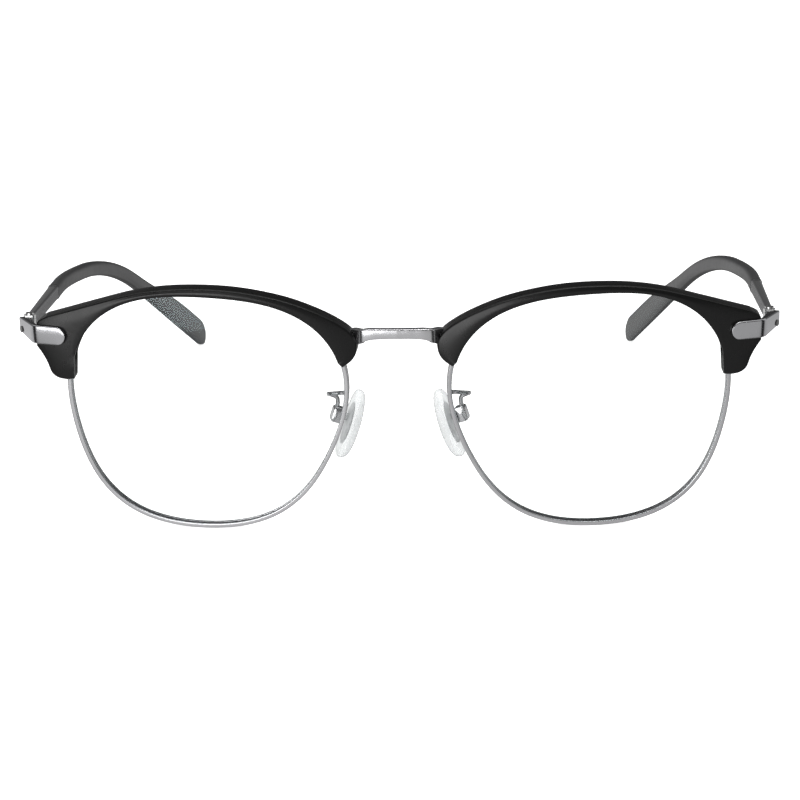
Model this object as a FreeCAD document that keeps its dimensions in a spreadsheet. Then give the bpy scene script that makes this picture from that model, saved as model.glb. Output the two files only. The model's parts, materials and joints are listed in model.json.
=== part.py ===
"""Browline (half rim) eyeglasses: plastic brow pieces on full metal eyewires.

Frame while modelling: +X to the image right of a viewer in front (the wearer's left),
+Y backwards along the temples, +Z up.  The last step moves everything so that the
origin is the bottom centre of the bounding box, on the surface the glasses stand on.
"""
import FreeCAD, Part
import Sketcher
import math
import os

V = FreeCAD.Vector
X_AXIS, Y_AXIS, Z_AXIS = V(1, 0, 0), V(0, 1, 0), V(0, 0, 1)
SIDES = {"right": -1, "left": 1}          # the wearer's right and left

doc = FreeCAD.newDocument("browline_glasses")

# ---------------------------------------------------------------- driving dimensions
DIMENSIONS = {
    # front: how the two eye planes stand
    "face_wrap_deg": 4.0,
    "front_lean_deg": 3.0,
    "lens_centre_x": 35.5,
    "lens_centre_z": -1.0,
    "base_curve_radius": 130.0,
    "curve_vertex_y": -2.4,
    # eyewire and lens
    "wire_thickness": 0.85,
    "wire_depth": 1.9,
    "lens_thickness": 2.0,
    "bevel_width": 0.7,
    "bevel_depth": 0.4,
    "rim_split": 0.3,
    # brow
    "brow_front": 1.9,
    "brow_back": 1.7,
    "brow_lip": 0.15,
    "channel_slack": 0.05,
    # endpiece strap
    "strap_inner_x": 61.7,
    "strap_corner_x": 68.0,
    "strap_level_z": 11.8,
    "strap_height": 3.5,
    "strap_plate": 0.9,
    "strap_end_x": 71.0,
    "strap_end_y": 9.0,
    "strap_end_z": 12.7,
    "strap_end_height": 2.8,
    "strap_end_width": 1.7,
    # hinge
    "pivot_x": 69.2,
    "pivot_y": 10.4,
    "pivot_z": 12.8,
    "knuckle_radius": 1.15,
    "knuckle_tall": 1.1,
    "hinge_tall": 2.6,
    "knuckle_gap": 0.05,
    "pin_radius": 0.5,
    "pin_play": 0.05,
    "screw_head_radius": 0.85,
    "screw_head_tall": 0.45,
    "leaf_width": 1.3,
    # temple
    "temple_slope_deg": 6.0,
    "temple_splay_deg": 1.0,
    "bar_start": 1.3,
    "bar_width": 1.4,
    "bar_tall": 2.5,
    "bar_end_width": 2.2,
    "bar_end_tall": 2.75,
    "sleeve_start": 38.0,
    "core_length": 26.0,
    "core_width": 1.0,
    "core_tall": 1.4,
    "straight_length": 70.0,
    "bend_radius": 62.8,
    "bend_deg": 27.76,
    "tip_length": 38.7,
    "curve_in_start": 47.7,
    "curve_in_radius": 93.0,
    "curve_in_deg": 17.2,
    "sleeve_tall": 3.1,
    "sleeve_width": 2.5,
    "paddle_tall": 5.8,
    "paddle_width": 2.1,
    "paddle_rise": 0.9,
    "paddle_start": 96.0,
    "paddle_full": 127.0,
    # bridge
    "bridge_top_z": 14.0,
    "bridge_tall": 1.85,
    "bridge_foot_tall": 3.6,
    "bridge_half": 10.4,
    "bridge_thick": 1.4,
    "bridge_front_y": -2.3,
    # nose pads
    "box_x": 11.8,
    "box_y": 7.6,
    "box_z": -4.95,
    "box_wide": 2.3,
    "box_long": 3.0,
    "box_back": 1.0,
    "box_mouth": 1.0,
    "lug_wide": 1.2,
    "lug_play": 0.1,
    "lug_radius": 0.65,
    "pad_back": 2.2,
    "pad_thick": 2.3,
    "pad_long": 13.6,
    "pad_wide": 7.4,
    "pad_drop": 1.1,
    "insert_long": 7.0,
    "insert_wide": 3.2,
    "insert_thick": 0.7,
    "pad_splay_deg": 12.0,
    "pad_flare_deg": 19.0,
    "pad_screw_radius": 0.4,
    "arm_radius": 0.42,
    # rim lock
    "block_radius": 1.25,
    "block_tall": 1.9,
    "lock_x": 60.95,
    "lock_back": 1.3,
    # rivets
    "rivet_radius": 0.45,
    "rivet_head_radius": 0.6,
    "rivet_head_tall": 0.15,
    "rivet_deep": 0.8,
}

sheet = doc.addObject("Spreadsheet::Sheet", "dimensions")
for row, (name, value) in enumerate(DIMENSIONS.items(), start=1):
    sheet.set(f"A{row}", name)
    sheet.set(f"B{row}", str(value))
    sheet.setAlias(f"B{row}", name)
doc.recompute()


def dim(name):
    """Read one driving dimension from the sheet, in millimetres or degrees."""
    return float(sheet.get(name))


# ---------------------------------------------------------------- frames of reference
def frame_placement(origin, x_dir, y_dir):
    """Placement whose local x and y lie along the two given perpendicular directions."""
    rotation = FreeCAD.Rotation(x_dir, y_dir, x_dir.cross(y_dir), "XYZ")
    return FreeCAD.Placement(origin, rotation)


def eye_frame():
    """Eye plane of the +X side: wrapped about the vertical, then leaned."""
    lean = FreeCAD.Rotation(X_AXIS, dim("front_lean_deg"))
    wrap = FreeCAD.Rotation(Z_AXIS, dim("face_wrap_deg"))
    return FreeCAD.Placement(V(0, 0, 0), lean.multiply(wrap))


def temple_frame(side):
    """Hinge pivot of one side: local x outwards, y back along the temple."""
    splay = math.radians(dim("temple_splay_deg"))
    slope = math.radians(dim("temple_slope_deg"))
    origin = V(side * dim("pivot_x"), dim("pivot_y"), dim("pivot_z"))
    along = V(side * math.sin(splay), math.cos(splay) * math.cos(slope), -math.cos(splay) * math.sin(slope))
    up = V(0, math.sin(slope), math.cos(slope))
    outwards = along.cross(up) * side
    return frame_placement(origin, outwards, along)


def pad_frame(side):
    """Pad screw of one side: local x along the screw, y up the pad, z towards the nose."""
    splay = math.radians(dim("pad_splay_deg"))
    flare = math.radians(dim("pad_flare_deg"))
    level = V(-side * math.cos(splay), math.sin(splay), 0)
    towards_nose = level * math.cos(flare) - Z_AXIS * math.sin(flare)
    up = Z_AXIS * math.cos(flare) + level * math.sin(flare)
    origin = V(side * dim("box_x"), dim("box_y"), dim("box_z"))
    return frame_placement(origin, up.cross(towards_nose), up)


EYE = eye_frame()
FINISHED = {}                              # label -> document object


def finish(obj, label):
    """Give an object its label and list it as one sub-part."""
    obj.Label = label
    FINISHED[label] = obj
    return obj


def add_shape(label, shape, placement=FreeCAD.Placement()):
    """Make a Part::Feature sub-part: its Shape first, then its Placement."""
    obj = doc.addObject("Part::Feature", label)
    obj.Shape = shape.removeSplitter()
    obj.Placement = placement
    return finish(obj, label)


def add_pair(stem, shape):
    """Add a shape made on the +X side and its mirror image as left and right sub-parts."""
    add_shape(f"{stem}_left", shape)
    add_shape(f"{stem}_right", shape.mirror(V(0, 0, 0), X_AXIS))


# ---------------------------------------------------------------- PartDesign helpers
def new_body(label):
    """Empty PartDesign body, listed as one sub-part."""
    body = doc.addObject("PartDesign::Body", label)
    return finish(body, label)


def origin_plane(body, role):
    """One of a body's three origin planes, by its role name."""
    return next(item for item in body.Origin.OriginFeatures if item.Role == role)


def sketch_on(body, role, name):
    """New sketch on one of a body's own origin planes."""
    sketch = body.newObject("Sketcher::SketchObject", name)
    sketch.AttachmentSupport = [(origin_plane(body, role), "")]
    sketch.MapMode = "FlatFace"
    return sketch


def polygon(sketch, points, names):
    """Closed polygon whose corners follow expressions; names holds an (x, y) pair for each."""
    count = len(points)
    for i, (x, y) in enumerate(points):
        nx, ny = points[(i + 1) % count]
        sketch.addGeometry(Part.LineSegment(V(x, y, 0), V(nx, ny, 0)), False)
    for i in range(count):
        sketch.addConstraint(Sketcher.Constraint("Coincident", i, 2, (i + 1) % count, 1))
    for i, (x, y) in enumerate(points):
        for kind, value, expression in (("DistanceX", x, names[i][0]), ("DistanceY", y, names[i][1])):
            index = sketch.addConstraint(Sketcher.Constraint(kind, -1, 1, i, 1, value))
            sketch.setExpression(f"Constraints[{index}]", expression)


def rectangle(sketch, low, high):
    """Rectangle between two corners, each an (x expression, y expression) pair."""
    corners = [(low[0], low[1]), (high[0], low[1]), (high[0], high[1]), (low[0], high[1])]
    points = [(evaluate(x), evaluate(y)) for x, y in corners]
    polygon(sketch, points, corners)


def evaluate(expression):
    """Value of a simple sheet expression, used as the sketch's first guess."""
    value = sheet.evalExpression(expression.replace("dimensions.", ""))
    return float(getattr(value, "Value", value))


def circle(sketch, radius_expression):
    """Circle about the sketch's origin, its radius bound to an expression."""
    radius = evaluate(radius_expression)
    sketch.addGeometry(Part.Circle(V(0, 0, 0), Z_AXIS, radius), False)
    index = sketch.addConstraint(Sketcher.Constraint("Radius", 0, radius))
    sketch.setExpression(f"Constraints[{index}]", radius_expression)
    sketch.addConstraint(Sketcher.Constraint("Coincident", 0, 3, -1, 1))


def pad_feature(body, sketch, length_expression, name, kind="PartDesign::Pad"):
    """Symmetric pad or pocket, so its direction never matters."""
    feature = body.newObject(kind, name)
    feature.Profile = sketch
    feature.Midplane = True
    feature.setExpression("Length", length_expression)
    sketch.Visibility = False
    return feature


def turned(body, points, names):
    """Body of revolution about its own Z axis from a half profile on the XZ plane."""
    sketch = sketch_on(body, "XZ_Plane", f"{body.Name}_profile")
    polygon(sketch, points, names)
    revolution = body.newObject("PartDesign::Revolution", f"{body.Name}_turned")
    revolution.Profile = sketch
    revolution.ReferenceAxis = (sketch, ["V_Axis"])
    revolution.Angle = 360
    return revolution


def headed_pin(label, shank_radius, head_radius, low, shoulder, top):
    """Pin from low to top along Z with a wider head above the shoulder."""
    body = new_body(label)
    names = [("0", low), (shank_radius, low), (shank_radius, shoulder),
             (head_radius, shoulder), (head_radius, top), ("0", top)]
    points = [(evaluate(x), evaluate(y)) for x, y in names]
    turned(body, points, names)
    return body


# ---------------------------------------------------------------- lens outline
OUTLINE_RADIUS = 25.3
OUTLINE_WAVES = {1: (0.39, -0.77), 2: (1.35, -0.05), 3: (-0.27, 0.98), 4: (-0.5, -0.1), 5: (-0.12, 0.25)}
OUTLINE_STEPS = 72                         # points of the smooth closed curve
ANGLE_STEP = 1e-4                          # radians, for the outline's tangent
LENS_X, LENS_Z = dim("lens_centre_x"), dim("lens_centre_z")


def outline_radius(angle):
    """Polar radius of the eyewire's outer edge: a circle with five gentle waves."""
    radius = OUTLINE_RADIUS
    for order, (cosine, sine) in OUTLINE_WAVES.items():
        radius += cosine * math.cos(order * angle) + sine * math.sin(order * angle)
    return radius


def outline_point(angle, offset=0.0):
    """Point of the outline in the eye plane, moved along its normal by offset."""

    def raw(a):
        radius = outline_radius(a)
        return V(LENS_X + radius * math.cos(a), 0, LENS_Z + radius * math.sin(a))

    tangent = raw(angle + ANGLE_STEP) - raw(angle - ANGLE_STEP)
    normal = V(tangent.z, 0, -tangent.x).normalize()
    return raw(angle) + normal * offset


def outline_wire(offset):
    """Closed smooth wire of the outline at y = 0 of the eye plane."""
    angles = [2 * math.pi * i / OUTLINE_STEPS for i in range(OUTLINE_STEPS)]
    curve = Part.BSplineCurve()
    curve.interpolate(Points=[outline_point(a, offset) for a in angles], PeriodicFlag=True)
    return Part.Wire(curve.toShape())


REACH = 15.0                               # half depth of every extruded blank


def prism(wire):
    """Solid of a closed wire in the eye plane, through the whole depth of the front."""
    face = Part.Face(wire)
    face.translate(V(0, -REACH, 0))
    return face.extrude(V(0, 2 * REACH, 0))


def shell(back, front):
    """Part of a thick sphere that follows the lens curve, from back to front of its middle."""
    radius = dim("base_curve_radius")
    centre = V(LENS_X, dim("curve_vertex_y") + radius, LENS_Z)
    outer = Part.makeSphere(radius + front, centre)
    return outer.cut(Part.makeSphere(radius - back, centre))


def curve_depth(x, z, front=0.0):
    """Depth y of the lens curve, moved forwards by front, at a point of the eye plane."""
    radius = dim("base_curve_radius")
    across = (x - LENS_X) ** 2 + (z - LENS_Z) ** 2
    return dim("curve_vertex_y") + radius - math.sqrt((radius + front) ** 2 - across)


def to_world(shape):
    """Move a shape from the eye plane's frame to the model's frame."""
    moved = shape.copy()
    moved.transformShape(EYE.toMatrix(), True)
    return moved


def eye_point(x, y, z):
    """A point of the eye plane's frame, in the model's frame."""
    return EYE.multVec(V(x, y, z))


# ---------------------------------------------------------------- eyewire and lens
half_wire = dim("wire_depth") / 2
half_lens = dim("lens_thickness") / 2
half_bevel = dim("bevel_width") / 2
inner_edge = -dim("wire_thickness")
groove_edge = inner_edge + dim("bevel_depth")
SPLIT_REACH = 4.0                          # how far inwards the rim's split is cut


def ring(outer_offset, inner_offset, back, front):
    """Closed ring between two offsets of the outline, following the lens curve."""
    blank = prism(outline_wire(outer_offset)).cut(prism(outline_wire(inner_offset)))
    return blank.common(shell(back, front))


# a channel section: an outer band and two inner lips, with the lens groove between the lips
eyewire = ring(0.0, groove_edge, half_wire, half_wire)
eyewire = eyewire.fuse([ring(groove_edge, inner_edge, -half_bevel, half_wire),
                        ring(groove_edge, inner_edge, half_wire, -half_bevel)]).removeSplitter()
split_corner = V(dim("lock_x") - SPLIT_REACH, -REACH, dim("strap_level_z") - dim("rim_split") / 2)
split_slot = Part.makeBox(SPLIT_REACH, 2 * REACH, dim("rim_split"), split_corner)
eyewire = eyewire.cut(split_slot)

lens = prism(outline_wire(inner_edge)).common(shell(half_lens, half_lens))
lens = lens.fuse(prism(outline_wire(groove_edge)).common(shell(half_bevel, half_bevel)))

# ---------------------------------------------------------------- brow
# corners and curve points in the eye plane, from the nose over the crown to the temple and back
BROW_TIP = (10.0, 6.5)
BROW_CROWN = [(8.3, 7.8), (7.5, 9.3), (7.5, 11.2), (8.7, 13.1), (10.9, 14.8), (14.3, 16.7),
              (19.6, 18.9), (25.1, 20.35), (31.0, 21.25), (37.5, 21.5), (43.5, 21.15),
              (49.2, 20.15), (56.8, 17.9), (62.0, 16.2)]
BROW_END = [(65.6, 15.0), (67.3, 13.9), (67.5, 12.6)]
BROW_WING = [(67.5, 9.4), (66.5, 8.1), (65.5, 6.4), (64.7, 4.5), (63.7, 3.7), (61.9, 3.4)]
BROW_FOOT = (60.3, 3.6)
BROW_ANGLES = (math.radians(20), math.radians(161))
BROW_STEPS = 20


def spline_edge(points):
    """Smooth edge through (x, z) points of the eye plane."""
    curve = Part.BSplineCurve()
    curve.interpolate(Points=[V(x, 0, z) for x, z in points])
    return curve.toShape()


def line_edge(start, end):
    """Straight edge between two (x, z) points of the eye plane."""
    return Part.LineSegment(V(start[0], 0, start[1]), V(end[0], 0, end[1])).toShape()


def brow_inner_points():
    """Lens side of the brow: the outline just inside the wire, from temple to nose."""
    first, last = BROW_ANGLES
    offset = inner_edge - dim("brow_lip")
    for i in range(BROW_STEPS + 1):
        point = outline_point(first + (last - first) * i / BROW_STEPS, offset)
        yield (point.x, point.z)


inner_points = list(brow_inner_points())
brow_wire = Part.Wire([
    spline_edge([BROW_TIP] + BROW_CROWN + BROW_END[:1]),
    spline_edge(BROW_END),
    line_edge(BROW_END[-1], BROW_WING[0]),
    spline_edge(BROW_WING + [BROW_FOOT]),
    line_edge(BROW_FOOT, inner_points[0]),
    spline_edge(inner_points),
    line_edge(inner_points[-1], BROW_TIP),
])
brow = prism(brow_wire).common(shell(dim("brow_back"), dim("brow_front")))
slack = dim("channel_slack")
channel = prism(outline_wire(slack)).common(shell(half_lens + slack, half_lens + slack))
brow = brow.cut(channel)

# ---------------------------------------------------------------- bridge
half = dim("bridge_half")
top = dim("bridge_top_z")
foot = top - dim("bridge_foot_tall")
arch = top - dim("bridge_tall")
face_y = dim("bridge_front_y")
thick = dim("bridge_thick")

# (x, z) points of the right half of the bridge's front view
BRIDGE_TOP = [(5.6, top), (8.2, top - 0.5), (half, top - 1.4)]
BRIDGE_ARCH = [(half, foot - 1.2), (8.4, foot - 0.1), (5.4, arch - 0.35)]
# (x, y) points of the right half of the bridge's front face in plan
BRIDGE_BOW = [(3.0, face_y - 0.18), (5.6, face_y), (6.7, face_y + 0.45), (7.5, face_y + 1.4),
              (8.4, face_y + 2.9), (half, face_y + 4.4)]
BOW_CROWN = (0.0, face_y - 0.25)


def mirrored(points):
    """The same points on the other side of the midline, in the opposite order."""
    return [(-x, other) for x, other in reversed(points)]


def plan_curve(points):
    """Smooth edge through (x, y) points in plan."""
    curve = Part.BSplineCurve()
    curve.interpolate(Points=[V(x, y, 0) for x, y in points])
    return curve.toShape()


def plan_line(start, end):
    """Straight edge between two (x, y) points in plan."""
    return Part.LineSegment(V(start[0], start[1], 0), V(end[0], end[1], 0)).toShape()


top_left, arch_left = mirrored(BRIDGE_TOP), mirrored(BRIDGE_ARCH)
bridge_front = Part.Wire([
    line_edge(top_left[-1], BRIDGE_TOP[0]),
    spline_edge(BRIDGE_TOP),
    line_edge(BRIDGE_TOP[-1], BRIDGE_ARCH[0]),
    spline_edge(BRIDGE_ARCH + [(0, arch)] + arch_left),
    line_edge(arch_left[-1], top_left[0]),
    spline_edge(top_left),
])
front_bow = mirrored(BRIDGE_BOW) + [BOW_CROWN] + BRIDGE_BOW
back_bow = [(x, y + thick) for x, y in reversed(front_bow)]
bridge_plan = Part.Wire([
    plan_curve(front_bow),
    plan_line(front_bow[-1], back_bow[0]),
    plan_curve(back_bow),
    plan_line(back_bow[-1], front_bow[0]),
])
bridge_slab = Part.Face(bridge_plan).extrude(V(0, 0, 2 * REACH))
bridge = prism(bridge_front).common(bridge_slab)

# ---------------------------------------------------------------- endpiece strap
def quad_wire(points):
    """Closed four-sided wire."""
    return Part.makePolygon(points + [points[0]])


corner_x = dim("strap_corner_x")
level = dim("strap_level_z")
half_strap = dim("strap_height") / 2
plate = dim("strap_plate")
round_x = dim("strap_inner_x") + half_strap
strap_face = Part.Wire([
    line_edge((round_x, level + half_strap), (corner_x, level + half_strap)),
    line_edge((corner_x, level + half_strap), (corner_x, level - half_strap)),
    line_edge((corner_x, level - half_strap), (round_x, level - half_strap)),
    Part.Arc(V(round_x, 0, level - half_strap), V(round_x - half_strap, 0, level),
             V(round_x, 0, level + half_strap)).toShape(),
])
front_plate = prism(strap_face).common(shell(-dim("brow_front"), dim("brow_front") + plate))
front_plate = to_world(front_plate)

CORNER_OUTER = (0.0, 0.02)                 # x and y of the side's front edge, from the plate's corner
CORNER_INNER = (-0.6, 0.9)
corner_front = curve_depth(corner_x, level, dim("brow_front") + plate)
front_quad = [eye_point(corner_x + dx, corner_front + dy, level + dz) for (dx, dy), dz in (
    (CORNER_OUTER, half_strap), (CORNER_INNER, half_strap),
    (CORNER_INNER, -half_strap), (CORNER_OUTER, -half_strap))]
end_x, end_y, end_z = dim("strap_end_x"), dim("strap_end_y"), dim("strap_end_z")
half_end = dim("strap_end_height") / 2
end_inner_x = end_x - dim("strap_end_width")
end_quad = [V(end_x, end_y, end_z + half_end), V(end_inner_x, end_y, end_z + half_end),
            V(end_inner_x, end_y, end_z - half_end), V(end_x, end_y, end_z - half_end)]
strap_side = Part.makeLoft([quad_wire(front_quad), quad_wire(end_quad)], True, True)
strap = front_plate.fuse(strap_side)

# ---------------------------------------------------------------- pad arm
def rounded_path(points, radii):
    """Straight runs through the points with a tangent arc at each inner point."""
    edges = []
    start = points[0]
    for i in range(1, len(points) - 1):
        before = (points[i] - points[i - 1]).normalize()
        after = (points[i + 1] - points[i]).normalize()
        turn = before.getAngle(after)
        trim = radii[i - 1] * math.tan(turn / 2)
        first, last = points[i] - before * trim, points[i] + after * trim
        bisector = (after - before).normalize()
        middle = points[i] + bisector * (radii[i - 1] / math.cos(turn / 2) - radii[i - 1])
        edges.append(Part.LineSegment(start, first).toShape())
        edges.append(Part.Arc(first, middle, last).toShape())
        start = last
    edges.append(Part.LineSegment(start, points[-1]).toShape())
    return Part.Wire(edges)


# from the eyewire backwards, out round a loop and down to the pad box
ARM_ROUTE = [V(9.75, 1.2, 0.85), V(10.2, 3.4, 0.4), V(13.2, 4.6, -0.2), V(13.1, 6.7, -0.75),
             V(11.4, 7.4, -1.6), V(11.75, 7.55, -4.0)]
ARM_BENDS = [0.9, 0.9, 0.9, 1.1]           # radius of each bend of the route
arm_path = rounded_path(ARM_ROUTE, ARM_BENDS)
arm_start = (ARM_ROUTE[1] - ARM_ROUTE[0]).normalize()
arm_profile = Part.Wire(Part.makeCircle(dim("arm_radius"), ARM_ROUTE[0], arm_start))
pad_arm = arm_path.makePipeShell([arm_profile], True, True)

# ---------------------------------------------------------------- hinges
half_hinge = "dimensions.hinge_tall / 2"
half_leaf = "dimensions.leaf_width / 2"
WEB_REACH = "1.9"                          # how far the fork's web runs forwards into the strap
LEAF_BITE = 2.0                            # how far the leaf's web runs back into the bar
for name, side in SIDES.items():
    place = temple_frame(side)

    fork = new_body(f"front_hinge_{name}")
    barrel = sketch_on(fork, "XY_Plane", f"fork_barrel_{name}")
    circle(barrel, "dimensions.knuckle_radius")
    pad_feature(fork, barrel, "dimensions.hinge_tall", f"fork_barrel_pad_{name}")
    web = sketch_on(fork, "XY_Plane", f"fork_web_{name}")
    rectangle(web, (f"-{half_leaf}", f"-{WEB_REACH}"), (half_leaf, "0"))
    pad_feature(fork, web, "dimensions.hinge_tall", f"fork_web_pad_{name}")
    slot = sketch_on(fork, "XY_Plane", f"fork_slot_{name}")
    rectangle(slot, ("-2", "-dimensions.knuckle_radius - 0.1"), ("2", "2"))
    slot_tall = "dimensions.knuckle_tall + 2 * dimensions.knuckle_gap"
    pad_feature(fork, slot, slot_tall, f"fork_slot_cut_{name}", "PartDesign::Pocket")
    bore = sketch_on(fork, "XY_Plane", f"fork_bore_{name}")
    circle(bore, "dimensions.pin_radius")
    pad_feature(fork, bore, "dimensions.hinge_tall + 1", f"fork_bore_cut_{name}", "PartDesign::Pocket")
    fork.Placement = place

    leaf = new_body(f"temple_hinge_{name}")
    barrel = sketch_on(leaf, "XY_Plane", f"leaf_barrel_{name}")
    circle(barrel, "dimensions.knuckle_radius")
    pad_feature(leaf, barrel, "dimensions.knuckle_tall", f"leaf_barrel_pad_{name}")
    web = sketch_on(leaf, "XY_Plane", f"leaf_web_{name}")
    rectangle(web, (f"-{half_leaf}", "0"), (half_leaf, f"dimensions.bar_start + {LEAF_BITE}"))
    pad_feature(leaf, web, "dimensions.knuckle_tall", f"leaf_web_pad_{name}")
    bore = sketch_on(leaf, "XY_Plane", f"leaf_bore_{name}")
    circle(bore, "dimensions.pin_radius + dimensions.pin_play")
    pad_feature(leaf, bore, "dimensions.hinge_tall + 1", f"leaf_bore_cut_{name}", "PartDesign::Pocket")
    leaf.Placement = place

    head_top = f"{half_hinge} + dimensions.screw_head_tall"
    screw = headed_pin(f"hinge_screw_{name}", "dimensions.pin_radius", "dimensions.screw_head_radius",
                       f"-{half_hinge}", half_hinge, head_top)
    upright = temple_frame(side)
    if side < 0:
        upright.Rotation = upright.Rotation.multiply(FreeCAD.Rotation(Y_AXIS, 180))
    screw.Placement = upright

doc.recompute()

# ---------------------------------------------------------------- temple bar and sleeve
PATH_STEP = 0.25                           # step of the sum along the middle line


def temple_turns(distance):
    """How far the temple has bent down and curved inwards, in radians."""
    bend, curve = math.radians(dim("bend_deg")), math.radians(dim("curve_in_deg"))
    down = min(bend, max(0.0, (distance - dim("straight_length")) / dim("bend_radius")))
    inwards = min(curve, max(0.0, (distance - dim("curve_in_start")) / dim("curve_in_radius")))
    return down, inwards


def temple_direction(distance):
    """Unit direction of the temple's middle line, in the hinge frame of the +X side."""
    down, inwards = temple_turns(distance)
    return V(-math.sin(inwards), math.cos(down) * math.cos(inwards), -math.sin(down) * math.cos(inwards))


def temple_path(distance):
    """Point, unit direction and upward direction of the middle line at a distance."""
    count = max(1, math.ceil(distance / PATH_STEP))
    step = distance / count
    point = V(0, 0, 0)
    for i in range(count):
        point = point + temple_direction((i + 0.5) * step) * step
    down, _ = temple_turns(distance)
    return point, temple_direction(distance), V(0, math.sin(down), math.cos(down))


def blend(value, start, end):
    """Smooth step from 0 at start to 1 at end."""
    share = min(1.0, max(0.0, (value - start) / (end - start)))
    return share * share * (3 - 2 * share)


SECTION_POINTS = 20                        # points round the sleeve's section
SQUARENESS = 0.72                          # 1 is an ellipse, 0 a rectangle
SLEEVE_STATIONS = 16                       # lengths between the sleeve's sections
TIP_SHARES = (0.35, 0.6, 0.8, 0.92, 0.985)  # where the rounded tip has its sections
TIP_DROOP = 0.55                           # how much of the narrowing at the tip is taken from above
CAP_WIDTH_GAIN = 0.25                      # the tip narrows less across than in height


def sleeve_section(distance, shrink=1.0):
    """Rounded-rectangle section of the sleeve: one smooth closed curve, split at its top and bottom."""
    point, direction, up = temple_path(distance)
    outwards = direction.cross(up).normalize()
    grow = blend(distance, dim("paddle_start"), dim("paddle_full"))
    tall = dim("sleeve_tall") + (dim("paddle_tall") - dim("sleeve_tall")) * grow
    wide = dim("sleeve_width") + (dim("paddle_width") - dim("sleeve_width")) * grow
    points = []
    for i in range(SECTION_POINTS):
        turn = math.pi / 2 + 2 * math.pi * i / SECTION_POINTS
        across, height = math.cos(turn), math.sin(turn)
        x = wide / 2 * math.copysign(abs(across) ** SQUARENESS, across) * min(1.0, shrink + CAP_WIDTH_GAIN)
        z = tall / 2 * math.copysign(abs(height) ** SQUARENESS, height) * shrink
        lift = dim("paddle_rise") * grow - (1 - shrink) * TIP_DROOP * tall / 2
        points.append(point + outwards * x + up * (z + lift))
    curve = Part.BSplineCurve()
    curve.interpolate(Points=points, PeriodicFlag=True)
    halfway = curve.parameter(points[SECTION_POINTS // 2])
    return Part.Wire([curve.toShape(curve.FirstParameter, halfway),
                      curve.toShape(halfway, curve.LastParameter)])


path_end = dim("straight_length") + dim("bend_radius") * math.radians(dim("bend_deg")) + dim("tip_length")
cap = dim("paddle_tall") / 2
start = dim("sleeve_start")
pitch = (path_end - cap - start) / SLEEVE_STATIONS
sections = [sleeve_section(start + pitch * i) for i in range(SLEEVE_STATIONS + 1)]
for share in TIP_SHARES:
    sections.append(sleeve_section(path_end - cap + cap * share, math.sqrt(1 - share ** 2)))
sleeve = Part.makeLoft(sections, True, False)


def bar_section(distance, wide, tall):
    """Rectangle across the bar at a distance from the hinge."""
    return quad_wire([V(wide / 2, distance, tall / 2), V(-wide / 2, distance, tall / 2),
                      V(-wide / 2, distance, -tall / 2), V(wide / 2, distance, -tall / 2)])


bar = Part.makeLoft([bar_section(dim("bar_start"), dim("bar_width"), dim("bar_tall")),
                     bar_section(start, dim("bar_end_width"), dim("bar_end_tall"))], True, True)
core = Part.makeBox(dim("core_width"), dim("core_length"), dim("core_tall"),
                    V(-dim("core_width") / 2, start, -dim("core_tall") / 2))
bar = bar.fuse(core)
leaf_slot = Part.makeBox(dim("leaf_width"), LEAF_BITE, dim("knuckle_tall"),
                         V(-dim("leaf_width") / 2, dim("bar_start"), -dim("knuckle_tall") / 2))
bar = bar.cut(leaf_slot)
sleeve = sleeve.cut(core)

for label, shape in (("temple_bar", bar), ("temple_sleeve", sleeve)):
    placed = shape.copy()
    placed.transformShape(temple_frame(1).toMatrix(), True)
    add_pair(label, placed)

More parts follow.
